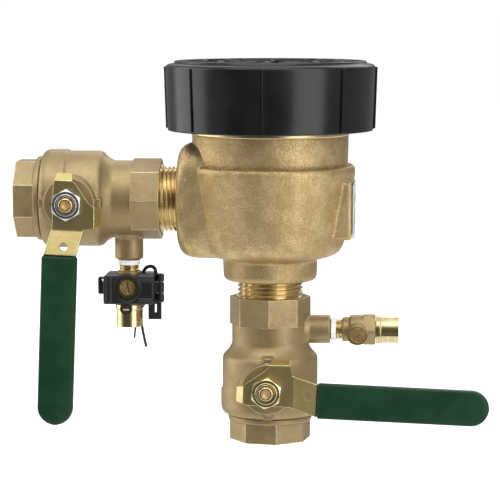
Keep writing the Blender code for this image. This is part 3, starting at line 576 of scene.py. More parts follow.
def moulded_black(name, shade, roughness, ripple):
    """Black plastic: slightly uneven gloss, faint flow ripples and dust-fine scuffs."""
    look = Look(name, Roughness=roughness, IOR=1.5)
    flow = look.noise(14, 2, 0.45)
    scuff = look.ramp(look.noise(1.2, 4, 0.7), 0.66, 0.80)
    cool_black = (0.55 * shade, 0.64 * shade, 0.67 * shade)
    colour = look.mix(look.ramp(flow), cool_black, grey(shade))
    colour = look.mix(look.math("MULTIPLY", scuff, 0.35), colour, grey(0.06))
    gloss = look.math("ADD", look.ramp(flow, 0.3, 0.7, roughness * 0.85, roughness * 1.15),
                      look.math("MULTIPLY", scuff, 0.15))
    return look.finish(colour, gloss, (flow, ripple), (look.noise(0.7, 3), 0.008))


def dipped_vinyl():
    """Dark green dipped vinyl with a soft orange-peel skin."""
    look = Look("green_vinyl", Roughness=0.40, IOR=1.45, Specular_IOR_Level=0.3)
    cloud = look.noise(16, 3)
    speck = look.ramp(look.noise(0.9, 3, 0.7), 0.68, 0.78)
    colour = look.mix(look.ramp(cloud), (0.0030, 0.027, 0.0095), (0.0045, 0.036, 0.0145))
    colour = look.mix(look.math("MULTIPLY", speck, 0.2), colour, (0.03, 0.09, 0.05))
    return look.finish(colour, look.ramp(look.noise(3, 3), 0.3, 0.7, 0.34, 0.46),
                       (look.noise(3.5, 2), 0.08), (look.noise(0.6, 2), 0.010))


def soft_solid(name, light, dark, roughness, grain=0.8, depth=0.02):
    """Matt moulded or pressed material with faint mottling."""
    look = Look(name, Roughness=roughness)
    fine = look.noise(grain, 3, 0.6)
    colour = look.mix(look.ramp(look.noise(8, 3)), dark, light)
    colour = look.mix(look.ramp(fine, 0.35, 0.65, 0.15, 0.0), colour, tuple(c * 0.5 for c in dark))
    gloss = look.ramp(fine, 0.3, 0.7, roughness * 0.85, min(1.0, roughness * 1.15))
    return look.finish(colour, gloss, (fine, depth))


def ptfe_tape():
    """White thread tape with small wrinkles."""
    look = Look("ptfe_tape", Roughness=0.5, Subsurface_Weight=0.1, Subsurface_Scale=0.5 * MM)
    wrinkle = look.noise(0.5, 3, 0.6)
    colour = look.mix(look.ramp(wrinkle), (0.74, 0.75, 0.73), (0.88, 0.88, 0.86))
    return look.finish(colour, look.ramp(wrinkle, 0.3, 0.7, 0.6, 0.4), (wrinkle, 0.08))


LOOKS = {
    "cast_bronze": cast_bronze(),
    "satin_bronze": satin_bronze("satin_bronze", True),
    "milled_bronze": satin_bronze("milled_bronze", False),
    # lighter edge colour: wear plus a painted highlight along the eased octagon edges
    "worn_and_highlit_bronze": soft_metal("worn_and_highlit_bronze", (0.66, 0.55, 0.34), (0.48, 0.38, 0.21), 0.38),
    "brass_x": machined_brass(0),
    "brass_y": machined_brass(1),
    "brass_z": machined_brass(2),
    "steel_y": bright_steel(1),
    "steel_z": bright_steel(2),
    "face_metal": turned_metal("machined_bronze", (0.90, 0.73, 0.43), (0.72, 0.54, 0.28), 2, 0.26),
    "yellow_nut": turned_metal("yellow_zinc_nut", (0.92, 0.83, 0.52), (0.80, 0.68, 0.36), 1, 0.2),
    "stem_face": soft_metal("worn_brass_face", (0.33, 0.22, 0.085), (0.20, 0.125, 0.045), 0.42, 0.5),
    "slot": soft_metal("slot_brass", (0.62, 0.42, 0.17), (0.38, 0.24, 0.08), 0.4, 0.6),
    "copper_face": soft_metal("worn_stem_end", (0.62, 0.43, 0.25), (0.44, 0.29, 0.15), 0.4, 0.6),
    "zinc": yellow_zinc(),
    # lighter edge colour: a painted highlight along the lever's bevelled edges, over sheared metal
    "zinc_edge": soft_metal("sheared_and_highlit_zinc_edge", (0.92, 0.86, 0.58), (0.74, 0.66, 0.36), 0.28),
    "gloss_black": moulded_black("gloss_black", 0.0065, 0.23, 0.12),
    "nylon_black": moulded_black("nylon_black", 0.015, 0.36, 0.05),
    "vinyl": dipped_vinyl(),
    "rubber": soft_solid("black_rubber", grey(0.022), grey(0.014), 0.62),
    "ptfe": soft_solid("white_ptfe", (0.82, 0.82, 0.80), (0.72, 0.72, 0.70), 0.45),
    "tape": ptfe_tape(),
    "grey": soft_solid("grey_acetal", (0.27, 0.28, 0.29), (0.20, 0.21, 0.22), 0.4),
    "label": soft_solid("label_enamel", (0.50, 0.50, 0.49), (0.44, 0.44, 0.43), 0.35, 1.5, 0.015),
    "ink": soft_solid("label_ink", grey(0.05), grey(0.03), 0.5, 0.6, 0.01),
}


# ---------------------------------------------------------------- bowl and canopy

def bowl():
    shell = turned("bowl_shell", [
        (21.5, HUB_BOTTOM), (23.2, 83.2), (24, 85), (24.2, 93.2), (25.8, 94), (30.4, 95), (33.6, 96.2),
        (35.9, 98), (37.5, 101), (38.4, 104.6), (43.1, 136), (43.4, 139.2), (42.9, 141), (41.9, 141.9),
        (41, 141.8), (39.2, 140.2), (39, 141.4), (39.6, 142.6), (39.8, 150), (LIP_R, LIP_LOW + 0.6),
    ], reach=0.7, steps=160)
    boss = skin("boss", boss_sections(), OUTLET_AXIS)
    pad = block("label_pad", (30, -21, 105), (42, 21, 134.5), bevel=1.6)
    casting = melt("bowl", [shell, boss, pad], 0.55, 3, 0.10, 0.8)
    paint(casting, "cast_bronze")

    bore = turned("bore", [
        (SOCKET_R, HUB_BOTTOM - 2), (SOCKET_R, 94), (THROAT_R, 94), (THROAT_R, 97), (15.3, 97),
        (15.3, 101), (31, 101), (34, 105), (38.2, 134.5), (33, 139.3), (33, 142.3), (MOUTH_R, 142.3),
        (MOUTH_R, NECK_TOP + 2),
    ])
    socket = turned("socket", [(THROAT_R, 25), (THROAT_R, 38.5), (SOCKET_R, 38.5), (SOCKET_R, BOSS_END + 2)],
                    OUTLET_AXIS)
    cut(casting, "face_metal", bore, socket)
    cut(casting, "cast_bronze", block("label_recess", (42, -19.6, 104.9), (48, 19.6, 133.6), bevel=0.4))
    show(casting, None, "body")

    lip = turned_ring("bowl_lip", [
        (MOUTH_R, LIP_LOW + 0.2), (LIP_R, LIP_LOW), (LIP_R + 0.5, LIP_LOW + 0.5), (LIP_R + 0.5, NECK_TOP),
        (MOUTH_R, NECK_TOP),
    ], reach=0.35, steps=128)
    show(lip, "face_metal", "body")

    plate = block("label", (LABEL_X - 1, -19, 105.6), (LABEL_X, 19, 132.9), bevel=0.35)
    show(plate, "label", "label_plate")
    bars = ((13, 123.2, 127.2), (15.5, 116.6, 118.2), (15.5, 112.8, 114.4))
    for i, (y, z_low, z_high) in enumerate(bars):
        bar = block(f"label_bar_{i}", (LABEL_X - 0.05, -15.5, z_low), (LABEL_X + 0.06, y, z_high), bevel=0.03)
        show(bar, "ink", "label_plate")


def boss_sections():
    """The outlet boss from inside the bowl to its face: squarer and taller where it meets the bowl."""
    stations = [(18, 29.8, 26, 3.9), (36, 29.4, 25.6, 4), (40, 28.9, 25.2, 4), (42, 28.3, 25, 3.7),
                (43.6, 27.5, 25, 3.1), (45.1, 26.2, 25, 2.6), (46.4, 23.6, 23.4, 2.2),
                (BOSS_END, 17.8, 17.8, 2)]
    rings = []
    for z, high, wide, power in stations:
        section = []
        for angle in turns(120):
            c, s = cos(angle), sin(angle)
            reach = (abs(c) ** power + abs(s) ** power) ** (-1 / power)
            section.append((high * reach * c, wide * reach * s, z))
        rings.append(section)
    return rings


def canopy():
    ribs, taper = 8, 1.85
    hole_r, hub_r, hub_low, hub_high = 2.9, 8.6, 181.3, 186.6
    plate, shoulder = CANOPY_TOP - 3, CANOPY_TOP - 1.7
    hood = turned_ring("canopy_hood", [
        (hole_r, hub_low), (11, hub_low), (11, plate - 2.5), (50, plate - 2.5), (51.1, plate - 3.7),
        (50.3, CANOPY_BOTTOM), (52.3, CANOPY_BOTTOM), (53.45, shoulder - 2.4), (53.2, shoulder - 0.9),
        (51.9, shoulder), (49.2, shoulder + 0.3), (48.5, CANOPY_TOP), (46.8, CANOPY_TOP), (45.8, plate),
        (hub_r, plate), (hub_r, hub_high), (hole_r, hub_high),
    ], reach=0.6, steps=240)
    low, high = CANOPY_BOTTOM + 0.9, shoulder - 1.4
    half = (high - low) / 2
    tools = []
    for i in range(ribs):
        around = stand(turn=(0, 0, 360 / ribs * i))
        side = stand((52.9, 0, (high + low) / 2), (0, taper, 0), around)
        tools.append(block("side_rib", (-1.5, -1, -half), (1, 1, half), side, 0.3))
        tools.append(block("top_rib", (9, -0.9, plate - 1), (47, 0.9, plate + 2.4), around, 0.3))
        knob = [(2.3, plate - 1), (2.3, plate + 2.2), (1.6, plate + 3.1), (0.5, plate + 3.4)]
        tools.append(turned("rib_knob", knob, stand((33.5, 0, 0), parent=around), 0.4, 32))
        between = stand(turn=(0, 0, 360 / ribs * (i + 0.5)))
        tools.append(block("gusset", (40.2, -0.8, plate - 1), (47, 0.8, plate + 2.6), between, 0.3))
    show(join(hood, *tools), "gloss_black", "canopy", sharp=28)

    washer = flat_ring("canopy_washer_disc", hole_r, 7.8, 186.9, 187.9, UPRIGHT, 0.25)
    show(washer, "steel_z", "canopy_washer")
    head = hexagon("canopy_bolt", 5.2, 188.2, 191.6, UPRIGHT, 0.9, 0.6, 192, both_ends=False)
    join(head, threaded("shank", 2.2, 0.35, 0.8, 176, 188.6, steps=48))
    show(head, "steel_z", "canopy_screw")


# ---------------------------------------------------------------- pipe nipples

def nipples():
    """Threaded pipes from each valve's neck into the bowl."""
    neck = NECK_OCTAGON_Z + 0.8
    pipes = (("inlet", neck, 93.7, UPRIGHT, "brass_z"),
             ("outlet", 38.8, -OUTLET_X - neck, OUTLET_AXIS, "brass_x"))
    for side, low, high, where, look in pipes:
        pipe = threaded(side + "_nipple_thread", THREAD_R, 1.15, PIPE_PITCH, low, high, where)
        cut(pipe, None, rod("bore", 13, low - 10, high + 10, where))
        show(pipe, look, side + "_nipple", sharp=60)


# ---------------------------------------------------------------- ball valves

def valve_casting(prefix, valve, stem):
    cock = stand((0, 0, COCK_Z), (0, 90, 0), valve)
    barrel = turned("barrel", [
        (21.9, CAP_FLANGE_END + 0.3), (23.6, 13.8), (24.8, 15.3), (BARREL_BASE_R, 17.3),
        (BARREL_BASE_R, 26), (BARREL_R, 27), (BARREL_R, 42.4), (23.9, 44), (22, 45.8), (20.6, 47.8),
        (NECK_R, 50), (NECK_R, NECK_OCTAGON_Z + 1),
    ], valve, 0.6, 144)
    pad = turned("pad", [(PAD_R + 1.2, 14), (PAD_R + 0.6, 22.5), (PAD_R, 24), (PAD_R, PAD_TOP - 0.5),
                         (PAD_R - 0.5, PAD_TOP)], stem, 0.5, 80)
    lugs = [block("lug", (-2.4, low, 20), (2.4, low + 2.5, 27.6), stem, 0.4) for low in (13.4, -15.9)]
    collar = turned("cock_boss", [
        (8.6, 17.5), (7.9, 19.3), (7.3, 20.4), (7.3, COCK_REACH - 0.5), (6.8, COCK_REACH),
    ], cock, 0.5, 64)
    casting = melt(prefix + "_barrel", [barrel, pad, collar, *lugs], 0.4, 2, 0.04, 0.8)
    paint(casting, "satin_bronze")
    quarter = stand(turn=(0, 0, 90), parent=valve)
    join(casting, octagon_end("neck_end", NECK_OCTAGON_R, NECK_OCTAGON_Z, VALVE_LENGTH, quarter))
    flare_r = SOCKET_R + 1.3
    waterway = turned("waterway", [
        (20.8, 12), (20.8, 21.3), (18.2, 21.3), (18.2, 45.5), (PORT_R, 45.5), (PORT_R, NECK_OCTAGON_Z + 0.5),
        (SOCKET_R, NECK_OCTAGON_Z + 0.5), (SOCKET_R, VALVE_LENGTH - 1.2), (flare_r, VALVE_LENGTH + 0.1),
        (flare_r, VALVE_LENGTH + 2),
    ], valve)
    stem_hole = turned("stem_hole", [
        (6.6, 14), (6.6, 20.8), (4.4, 20.8), (4.4, 24.2), (8, 24.2), (8, PAD_TOP + 2),
    ], stem, steps=64)
    cut(casting, "face_metal", waterway, stem_hole, rod("cock_hole", 5.4, 8, COCK_REACH + 2, cock))
    show(casting, None, prefix + "_body")


def valve_cap(prefix, valve, octagon_turn):
    end = octagon_end(prefix + "_cap", CAP_OCTAGON_R, 0, CAP_LENGTH,
                      stand(turn=(0, 0, octagon_turn), parent=valve))
    flange = turned("flange", [
        (20, CAP_LENGTH - 1.6), (21.2, CAP_LENGTH - 0.9), (CAP_FLANGE_R, CAP_LENGTH - 0.2),
        (CAP_FLANGE_R, 12.7), (21.3, CAP_FLANGE_END), (20.5, CAP_FLANGE_END), (20.5, 21),
    ], valve, 0.2, 144)
    join(end, paint(flange, "milled_bronze"))
    funnel = turned("funnel", [
        (SOCKET_R + 1.1, -2), (SOCKET_R + 1.1, -0.1), (SOCKET_R - 1, 1.6), (SOCKET_R - 1.2, 12.4),
        (PORT_R, 12.5), (PORT_R, 14.5), (17.5, 14.5), (17.5, 22),
    ], valve)
    thread = threaded("thread", SOCKET_R, 1.1, PIPE_PITCH, 0.9, 12.5, valve, inside=True)
    cut(end, "face_metal", funnel, thread)
    show(end, None, prefix + "_end_cap")


def valve_inside(prefix, valve, stem, handle):
    ball = sphere(prefix + "_ball_chromed", BALL_R, 32, handle)
    cut(ball, None, rod("port", 11.5, -20, 20, stand(turn=(0, 90, 0), parent=handle)),
        block("slot", (-4.6, -1.7, 14.9), (4.6, 1.7, 19), handle))
    show(ball, "steel_y", prefix + "_ball")
    for node, flip in (("_cap_seat", 180), ("_neck_seat", 0)):
        outline = [(17.2, 15.2), (17.2, 9.1), (15.6, 9.1), (SEAT_R, 13.6), (SEAT_R, 15.2)]
        where = stand((0, 0, BALL_Z), (flip, 0, 0), valve)
        seat = turned_ring(prefix + node + "_ring", outline, where, 0.3, 80)
        show(seat, "ptfe", prefix + node)
    packing = flat_ring(prefix + "_packing_ring", STEM_BORE_R, 7.7, 24.5, 27.2, stem, 0.3)
    show(packing, "ptfe", prefix + "_packing")


def valve_stem(prefix, handle):
    """Stem with a thread for its nut and a chamfered end with a drilled recess."""
    spindle = threaded(prefix + "_spindle", STEM_R, 0.45, 1.25, 30, STEM_TOP - 0.4, handle, 64)
    foot = turned("foot", [(6.3, 18.5), (6.3, 20.5), (STEM_R, 20.6), (STEM_R, 31)], handle, 0.2, 64)
    tip = turned("tip", [(STEM_R - 0.5, STEM_TOP - 1.4), (STEM_R - 0.2, STEM_TOP - 0.7),
                         (STEM_R - 0.8, STEM_TOP), (2.2, STEM_TOP)], handle, 0.2, 64)
    join(spindle, foot, tip, block("tang", (-4.2, -1.3, 15.3), (4.2, 1.3, 19), handle, 0.2))
    paint(spindle, "brass_y")
    recess = turned("recess", [(0.3, STEM_TOP - 1.9), (2.3, STEM_TOP - 0.8), (2.55, STEM_TOP + 0.3)], handle,
                    steps=48)
    cut(spindle, "slot" if prefix.startswith("outlet") else "copper_face", recess)
    show(spindle, None, prefix + "_stem", sharp=50)


def gland_nut(prefix, stem):
    nut = hexagon(prefix + "_gland", 8.6, PAD_TOP + 0.3, LEVER_LOW - 0.5, stem, 0.8, 0.6, 96, both_ends=False)
    join(nut, rod("thread", 7.7, 27.5, PAD_TOP + 0.8, stem))
    cut(nut, None, rod("bore", STEM_BORE_R, 26, LEVER_LOW + 1, stem))
    show(nut, "brass_y", prefix + "_gland_nut")


def lever(prefix, handle):
    """A stamped plate: hub with two stop tabs bent back, and an arm that slopes outwards to its grip."""
    bm = bmesh.new()
    top = LEVER_LOW + LEVER_LIFT
    tab_drop, step_lead, hub_middle = 3, 1, 0.75
    arm_end = GRIP_START + GRIP_LENGTH - GRIP_TAIL

    def corners(*places, height=LEVER_LOW):
        return [bm.verts.new((along, across, height)) for along, across in places]

    tab_a = corners((-11, -6.5), (-11, 2.4))
    tab_b = corners((11.5, 12.6), (0.8, 12.6))
    edge = corners((ARM_START, -7.3), (ARM_START, 8.8))
    lower_rim = corners((-10.6, -7.1), (-9.9, -7.3))
    upper_rim = corners((-0.2, 11.6), (-1.6, 10.2), (-5.2, 7.6), (-9, 5), (-10.6, 3.7))
    bm.faces.new([tab_a[0], *lower_rim, *edge, *tab_b, *upper_rim, tab_a[1]])
    bm.faces.new([*tab_a, *corners((-13.6, 1.4), (-13.6, -6), height=LEVER_LOW - tab_drop)])
    bm.faces.new([tab_b[1], tab_b[0], *corners((11, 14.2), (2, 14.2), height=LEVER_LOW - tab_drop)])

    bend, bend_slope = ((0.7, 0.06), (1.4, 0.24), (2.1, 0.55)), 0.45
    slope = LEVER_LIFT / (ARM_STEP_END - ARM_START - step_lead)
    stations = [(ARM_START + d, rise * slope / bend_slope) for d, rise in bend]
    stations += [(ARM_STEP_END - step_lead, LEVER_LIFT - 0.25), (ARM_STEP_END, LEVER_LIFT)]
    outline = []
    for d, rise in stations:
        t = (d - ARM_START) / (ARM_STEP_END - ARM_START)
        outline.append((d, hub_middle + (LEVER_OFFSET - hub_middle) * t, 8.05 + 0.15 * t, LEVER_LOW + rise))
    for d, half in ((GRIP_START - 0.3, 7.2), (arm_end - 2.5, 7.2), (arm_end, 4.2)):
        outline.append((d, LEVER_OFFSET, half, top))
    for d, centre, half, height in outline:
        far = corners((d, centre - half), (d, centre + half), height=height)
        bm.faces.new([edge[0], far[0], far[1], edge[1]])
        edge = far

    plate = new_object(prefix + "_lever_plate", bm, handle)
    modify(plate, "SOLIDIFY", thickness=LEVER_THICK * MM, offset=1, use_even_offset=True)
    # the bevelled edges take zinc_edge, whose lighter colour is a painted highlight along the edges
    modify(plate, "BEVEL", width=0.35 * MM, segments=3, limit_method="ANGLE", angle_limit=radians(35),
           material=1)
    paint(plate, "zinc", "zinc_edge")
    bake(plate)
    cut(plate, "zinc_edge", rod("bore", STEM_R + 0.3, 28, 38, handle),
        rod("hole", 2.1, 28, 44, stand((21, -0.8, 0), parent=handle)))
    show(plate, None, prefix + "_lever", sharp=40)


def grip(prefix, handle):
    """A dipped sleeve: a soft-edged flat bar with a fully round end."""
    steps = 24
    half, thick = GRIP_WIDTH / 2, GRIP_THICK / 2
    mouth_end, round_from = GRIP_START + 1, GRIP_START + GRIP_LENGTH - half
    mouth = [(GRIP_START, -0.9), (GRIP_START + 0.15, -0.45), (GRIP_START + 0.5, -0.12), (mouth_end, 0)]
    rings = [grip_section(d, half + inset, thick + inset) for d, inset in mouth]
    for i in range(1, steps + 1):
        rings.append(grip_section(mouth_end + (round_from - mouth_end) * i / steps, half, thick))
    for i in range(1, steps + 1):
        angle = pi / 2 * i / (steps + 0.6)
        shrink = 1 - (1 - cos(angle)) ** 1.6 * 0.55
        rings.append(grip_section(round_from + half * sin(angle), half * cos(angle), thick * shrink))
    sleeve = skin(prefix + "_grip_sleeve", rings, handle)
    show(sleeve, "vinyl", prefix + "_grip", sharp=60)


def grip_section(d, half_width, half_thick):
    """A rounded rectangle across the lever at d."""
    centre = LEVER_LOW + LEVER_LIFT + LEVER_THICK / 2
    corner = min(2.6, half_width * 0.9, half_thick * 0.9)

    def reach(half, direction):
        flat = half - corner
        return (flat if direction > 0 else -flat) * min(1, abs(direction) * 1.6) + corner * direction

    return [(d, LEVER_OFFSET + reach(half_width, cos(a)), centre + reach(half_thick, sin(a)))
            for a in turns(72)]


def handle_nut(prefix, handle, nut_turn, look):
    low = LEVER_LOW + LEVER_THICK + 0.3
    where = stand(turn=(0, 0, nut_turn), parent=handle)
    nut = hexagon(prefix + "_lock_nut", 8.1, low, low + 4.8, where, 1.35, 0.5, 180)
    join(nut, turned("collar", [(5.7, low + 4), (5.6, low + 5.3), (5.3, low + 5.8), (4.9, low + 5.8)],
                     where, 0.2, 80))
    cut(nut, None, turned("bore", [(4.2, low - 1), (4.2, low + 5), (4.6, low + 5.1), (4.7, low + 7)],
                          where, steps=64))
    show(nut, look, prefix + "_handle_nut", sharp=24)


# each valve's frame, the turns of its cap and nut in degrees, and the nut's look
VALVES = {
    "inlet": (stand(), 90 + 11.2, 25, "yellow_nut"),
    "outlet": (stand((OUTLET_X, 0, OUTLET_Z), (0, 90, 0)), 22.5, 0, "steel_y"),
}


def ball_valves():
    for name, (valve, cap_turn, nut_turn, nut_look) in VALVES.items():
        prefix = name + "_valve"
        stem = stand((0, 0, BALL_Z), (90, 0, 0), valve)
        handle = stand((0, 0, BALL_Z), (90, LEVER_DROOP, 0), valve)
        valve_casting(prefix, valve, stem)
        valve_cap(prefix, valve, cap_turn)
        valve_inside(prefix, valve, stem, handle)
        valve_stem(prefix, handle)
        gland_nut(prefix, stem)
        lever(prefix, handle)
        grip(prefix, handle)
        handle_nut(prefix, handle, nut_turn, nut_look)


# ---------------------------------------------------------------- test cocks

def test_cock(prefix, valve, stem_tilt, slot_turn, along):
    cock = stand((COCK_REACH, 0, COCK_Z), (0, 90, 0), valve)
    stem = stand((0, 0, COCK_STEM_Z), (90, 0, stem_tilt), cock)
    key = stand(turn=(0, 0, slot_turn), parent=stem)
    brass = "brass_" + along
    barrel = turned("barrel", [(5, 6.1), (5.9, 6.15), (6.3, 6.6), (6.3, 9.9), (7.5, 10.4), (7.5, 17.3)],
                    cock, 0.25, 72)
    boss = turned("boss", [(5.6, 0), (5.6, 6.5), (5.3, 7.2), (5.3, 9), (5, 9.3)], stem, 0.2, 64)
    body = melt(prefix + "_casting", [barrel, boss], 0.22, 2, 0.03, 0.7)
    join(body, hexagon("hex", 8.5, 16.6, 23.2, stand(turn=(0, 0, 30), parent=cock), 0.9, 0.8, 120))
    paint(body, "satin_bronze")
    join(body, paint(threaded("thread", 5.25, 0.55, 1.41, -4, 6.6, cock, 64, inside=True), brass))
    bore = turned("bore", [(COCK_BORE_R, -6), (COCK_BORE_R, 9.4), (4.6, 9.4), (4.6, 24)], cock, steps=48)
    stem_bore = turned("stem_bore", [(3.3, 1), (3.3, 7.7), (4.6, 7.7), (4.6, 9), (4.9, 10)], stem, steps=64)
    cut(body, brass, bore, stem_bore)
    show(body, None, prefix + "_body")

    nozzle = turned_ring(prefix + "_outlet", [
        (COCK_BORE_R, 19.2), (4.3, 19.2), (4.3, 23.5), (7.2, 23.5), (7.2, 25.6), (6.8, 26),
        (6.8, COCK_LENGTH), (5.2, COCK_LENGTH), (5.2, 29.5), (COCK_BORE_R, 29.5),
    ], cock, 0.25, 96)
    show(nozzle, brass, prefix + "_nozzle")

    ball = sphere(prefix + "_small_ball", 4.2, 16, key)
    cut(ball, None, rod("port", 2, -5, 5, stand(turn=(0, 90, 0), parent=key)),
        block("keyway", (-2.5, -0.8, 3.1), (2.5, 0.8, 5), key))
    show(ball, "steel_y", prefix + "_ball")
    spindle = turned(prefix + "_spindle", [
        (3, 4.6), (3, 8), (4.3, 8), (4.3, 9.3), (3.9, 9.6), (3.4, 9.6), (3.2, 9.4), (2.9, 9.4), (2.7, 9.6),
    ], key, 0.1, 64)
    join(spindle, block("tang", (-1.6, -0.5, 3.4), (1.6, 0.5, 5), key))
    paint(spindle, "stem_face")
    slot_look = "brass_y" if slot_turn else "slot"
    cut(spindle, slot_look, block("slot", (-3.3, -0.7, 8.6), (3.3, 0.7, 11), key, 0.15))
    show(spindle, None, prefix + "_stem")

    wraps, tape_low, tape_width = 5, 0.4, 2.5
    outline = [(5.45, tape_low)]
    for i in range(wraps):
        z = tape_low + tape_width * i / wraps
        outline += [(5.62 + 0.03 * (i % 2), z + 0.05), (5.78 - 0.04 * (i % 2), z + 0.42)]
    outline += [(5.6, 2.95), (5.45, 3)]
    tape = turned_ring(prefix + "_tape", outline, cock, 0.05, 80)
    show(tape, "tape", prefix + "_thread_tape", sharp=60)


# ---------------------------------------------------------------- lock clip

def clip_half(name, side, spans, cock_x, stem_z):
    """One half of the box round a cock: side is -1 for the front door and 1 for the back."""
    (x_low, z_low), (x_high, z_high) = CLIP_LOW, CLIP_HIGH
    front = side < 0

    def box(label, x, y, z, bevel=0):
        """A block between a near and a far reach from the split, on this half's side."""
        y_low, y_high = sorted((side * y[0], side * y[1]))
        return block(label, (x[0], y_low, z[0]), (x[1], y_high, z[1]), bevel=bevel)

    solids = [box("shell", (x_low, x_high), (CLIP_SPLIT, CLIP_DEPTH), (z_low, z_high), 1),
              box("ear", (-88.9, x_low + 1), (CLIP_SPLIT, 1.9), (74.3, 83.2), 0.75)]
    eye = stand((-73.3 if front else -68.9, 0, 68), (90, 0, 0))
    eye_near, eye_far = sorted((-side * (CLIP_DEPTH - 1.7), -side * (CLIP_DEPTH - 0.2)))
    solids.append(rod("eye", 3.1, eye_near, eye_far, eye))
    for low, high in spans:
        solids.append(box("leaf", (x_high - 1, HINGE_X), (0.4, KNUCKLE_R - 0.2), (low + 0.1, high - 0.1)))
        solids.append(rod("knuckle", KNUCKLE_R, low, high, HINGE_AXIS, 0.25))
    rail_y = (CLIP_DEPTH - 0.6, CLIP_DEPTH + RAIL_RISE)
    for z in (z_low + 1.9, z_high - 2.9):
        solids.append(box("rail", (-66.8, x_high + 0.2), rail_y, (z, z + 1), 0.25))
    for x in (-84.6, -81.9):
        solids.append(box("rib", (x, x + 1), rail_y, (z_low + 1.2, z_high - 1.2), 0.25))
    window = stand((cock_x, 0, stem_z), (90, 0, 0))
    if front:
        solids.append(rod("window_ring", 7, 8, 12.6, window, 0.4))
        opening = rod("window", 5.5, 5, 15, window)
    else:
        solids.append(box("tail", (-63.2, -56.4), (1.2, 3.4), (60.9, 72.6), 0.4))
        strap = smooth_path([(-66.4, 4, 84), (-65.4, 3.4, 86.4), (-63.8, 2.9, 88), (-61.9, 2.6, 88.5),
                             (-60.2, 2.5, 87.8), (-59.4, 2.6, 86.2), (-59.6, 3, 83.6)])
        solids.append(tube("strap", strap, [0.95] * len(strap)))
        opening = box("tail_slot", (-59.9, -58.8), (-1, 5), (64.5, 69))
    shell = melt(name + "_shell", solids, 0.26, 2)
    cut(shell, None,
        box("room", (x_low + CLIP_WALL, x_high - CLIP_WALL), (-1, CLIP_DEPTH - CLIP_WALL),
            (z_low + CLIP_WALL, z_high - CLIP_WALL), 0.5),
        turned("cock_room", [(8.9, 60), (8.9, 82.9), (6.8, 82.9), (6.8, 95)], stand((cock_x, 0, 0))),
        rod("pin_bore", 1, 55, 95, HINGE_AXIS, steps=32),
        rod("ear_hole", 0.9, -5, 5, stand((-86.2, 0, 81.4), (90, 0, 0)), steps=32),
        rod("eye_hole", 1.7, -16, 16, eye, steps=40))
    cut(shell, None, opening)
    show(shell, "nylon_black", name, sharp=40)


def lock_clip():
    """The clip's halves share three hinge knuckles: the front has the middle one."""
    cock_x, stem_z = OUTLET_X + COCK_Z, OUTLET_Z - COCK_REACH - COCK_STEM_Z
    low, high = CLIP_LOW[1], CLIP_HIGH[1]
    knuckle_low, knuckle_high = 75, 80.6
    clip_half("lock_clip_front", -1, [(knuckle_low, knuckle_high)], cock_x, stem_z)
    clip_half("lock_clip_back", 1, [(low, knuckle_low - KNUCKLE_GAP), (knuckle_high + KNUCKLE_GAP, high)],
              cock_x, stem_z)
    pin = rod("clip_hinge_pin", 0.7, low + 0.2, high + 0.4, HINGE_AXIS, 0.15, 32)
    show(pin, "steel_z", "lock_clip_pin")
    path = smooth_path([(-71.3, 8.3, 50), (-70.8, 8.4, 55), (-70.2, 8.6, 60), (-69.5, 8.8, 64.5),
                        (-69, 9, 67), (-68.9, 10.6, 67.8), (-68.8, 12.4, 67.2), (-68.6, 13, 65),
                        (-68.2, 12.6, 60), (-67.6, 12.2, 55), (-66.6, 11.8, 50), (-65.5, 11.6, 45)])
    radii = [0.48 + 0.22 * min(1, i / len(path) * 1.6) for i in range(len(path))]
    show(tube("clip_tie", path, radii), "nylon_black", "lock_tie", sharp=60)


# ---------------------------------------------------------------- springs, and pieces kept from the frame

SPRINGS = (    # node, joint, coil radius, wire radius, low end, high end, coils, the joint's travel
    ("check_spring", "check_lift", 8.2, 0.7, 110.6, 142, 6, 8),
    ("float_spring", "air_inlet_lift", 4.9, 0.5, 149.5, 161.6, 4, 7),
)

KEPT = {
    "brass_z": ("check_seat", "bonnet"),
    "rubber": ("check_disc", "bonnet_o_ring", "float_seal"),
    "grey": ("check_poppet", "spring_guide", "air_float"),
    "steel_z": ("disc_retainer",),
}


def springs():
    """Each spring is a coil of wire wound between its low and high end."""
    per_turn = 32
    for node, joint, radius, wire, low, high, coils, travel in SPRINGS:
        count = coils * per_turn
        path = []
        for i in range(count + 1):
            angle = 2 * pi * coils * i / count
            z = low + wire + (high - low - 2 * wire) * i / count
            path.append((radius * cos(angle), radius * sin(angle), z))
        coil = show(tube(node + "_coil", path, [wire] * len(path)), "steel_z", node, sharp=60)
        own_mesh(coil)


def keep_nodes():
    """Inner pieces keep their CAD mesh, with eased edges and a real material."""
    for look, nodes in KEPT.items():
        for node in nodes:
            obj = paint(frame["nodes"][node], look)
            modify(obj, "BEVEL", width=0.2 * MM, segments=2, limit_method="ANGLE", angle_limit=radians(50))


# ---------------------------------------------------------------- studio, in metres

TARGET = Vector((-0.0104, 0, 0.0976))
FLOOR_R, FLOOR_Z = 60, -0.14


def floor():
    bm = bmesh.new()
    bmesh.ops.create_circle(bm, cap_ends=True, segments=128, radius=FLOOR_R)
    bmesh.ops.translate(bm, verts=bm.verts, vec=(0, 0, FLOOR_Z))
    obj = link_mesh("floor", bm)
    look = Look("floor", Base_Color=(0.93, 0.93, 0.92, 1), Roughness=0.9, Specular_IOR_Level=0.0)
    obj.data.materials.append(look.material)
    obj.visible_glossy = False


def direction_from(azimuth, elevation):
    a, e = radians(azimuth), radians(elevation)
    return Vector((sin(a) * cos(e), -cos(a) * cos(e), sin(e)))


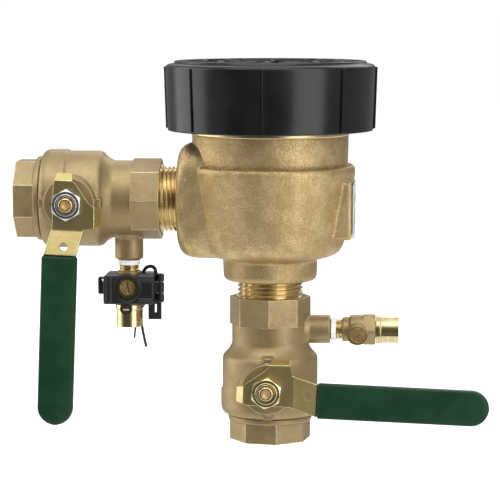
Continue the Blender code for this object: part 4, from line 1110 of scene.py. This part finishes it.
def world():
    """White to the eye and to matt surfaces.

    Shiny surfaces see a studio instead: a bright floor and ceiling, grey walls, and darkness round
    the camera.
    """
    made = bpy.data.worlds.new("studio")
    bpy.context.scene.world = made
    graph = Graph(made)
    direction = graph.node("ShaderNodeTexCoord").outputs["Generated"]
    up = graph.node("ShaderNodeSeparateXYZ", {0: direction}).outputs["Z"]
    height = graph.node("ShaderNodeMapRange", {"Value": up, "From Min": -0.9, "From Max": 0.9}).outputs[0]
    walls = graph.node("ShaderNodeValToRGB", {0: height})
    stops = [(0.0, 1.0), (0.25, 0.88), (0.44, 0.26), (0.56, 0.22), (0.8, 0.50), (1.0, 0.60)]
    while len(walls.color_ramp.elements) < len(stops):
        walls.color_ramp.elements.new(0.5)
    for element, (position, brightness) in zip(walls.color_ramp.elements, stops):
        element.position = position
        element.color = (*grey(brightness), 1)

    towards = graph.node("ShaderNodeVectorMath", {0: direction, 1: direction_from(-14, -4)},
                         operation="DOT_PRODUCT").outputs["Value"]
    card = graph.ramp(towards, cos(radians(40)), cos(radians(24)))
    studio = graph.mix(card, walls.outputs[0], grey(0.07))
    shiny = graph.node("ShaderNodeLightPath").outputs["Is Glossy Ray"]
    seen = graph.mix(shiny, grey(1.1), studio)
    graph.tree.links.new(seen, graph.tree.nodes["Background"].inputs["Color"])


def aim(obj, azimuth, elevation, distance):
    """Put a light or the camera round the target, facing it."""
    back = direction_from(azimuth, elevation)
    obj.location = TARGET + back * distance
    obj.rotation_mode = "QUATERNION"
    obj.rotation_quaternion = back.to_track_quat("Z", "Y")


def softbox(name, azimuth, elevation, distance, size, radiance):
    """A rectangular area light."""
    light = bpy.data.lights.new(name, "AREA")
    light.shape = "RECTANGLE"
    light.size, light.size_y = size
    light.energy = radiance * pi * size[0] * size[1]
    obj = link(name, light)
    aim(obj, azimuth, elevation, distance)
    obj.visible_camera = False


def camera():
    data = bpy.data.cameras.new("camera")
    data.lens, data.sensor_width = 154.3, 36
    data.clip_start, data.clip_end = 0.05, 200
    obj = link("camera", data)
    aim(obj, 3.6, 6.6, 1.1)
    bpy.context.scene.camera = obj


camera()
world()
floor()
softbox("key", 46, 12, 2.6, (1.7, 2.6), 1.9)
softbox("fill", -98, 12, 2.6, (2.6, 2.6), 1.6)
softbox("front_top", -12, 58, 2.6, (2.8, 1.7), 1.35)
softbox("top", 0, 84, 2.4, (2.4, 2.4), 0.7)
softbox("back", 170, 35, 2.8, (2.4, 1.6), 1.2)
bpy.context.scene.view_settings.view_transform = "Standard"

bowl()
canopy()
nipples()
ball_valves()
test_cock("inlet_cock", VALVES["inlet"][0], 13, 0, "x")
test_cock("outlet_cock", VALVES["outlet"][0], 0, 103, "z")
lock_clip()
springs()
keep_nodes()
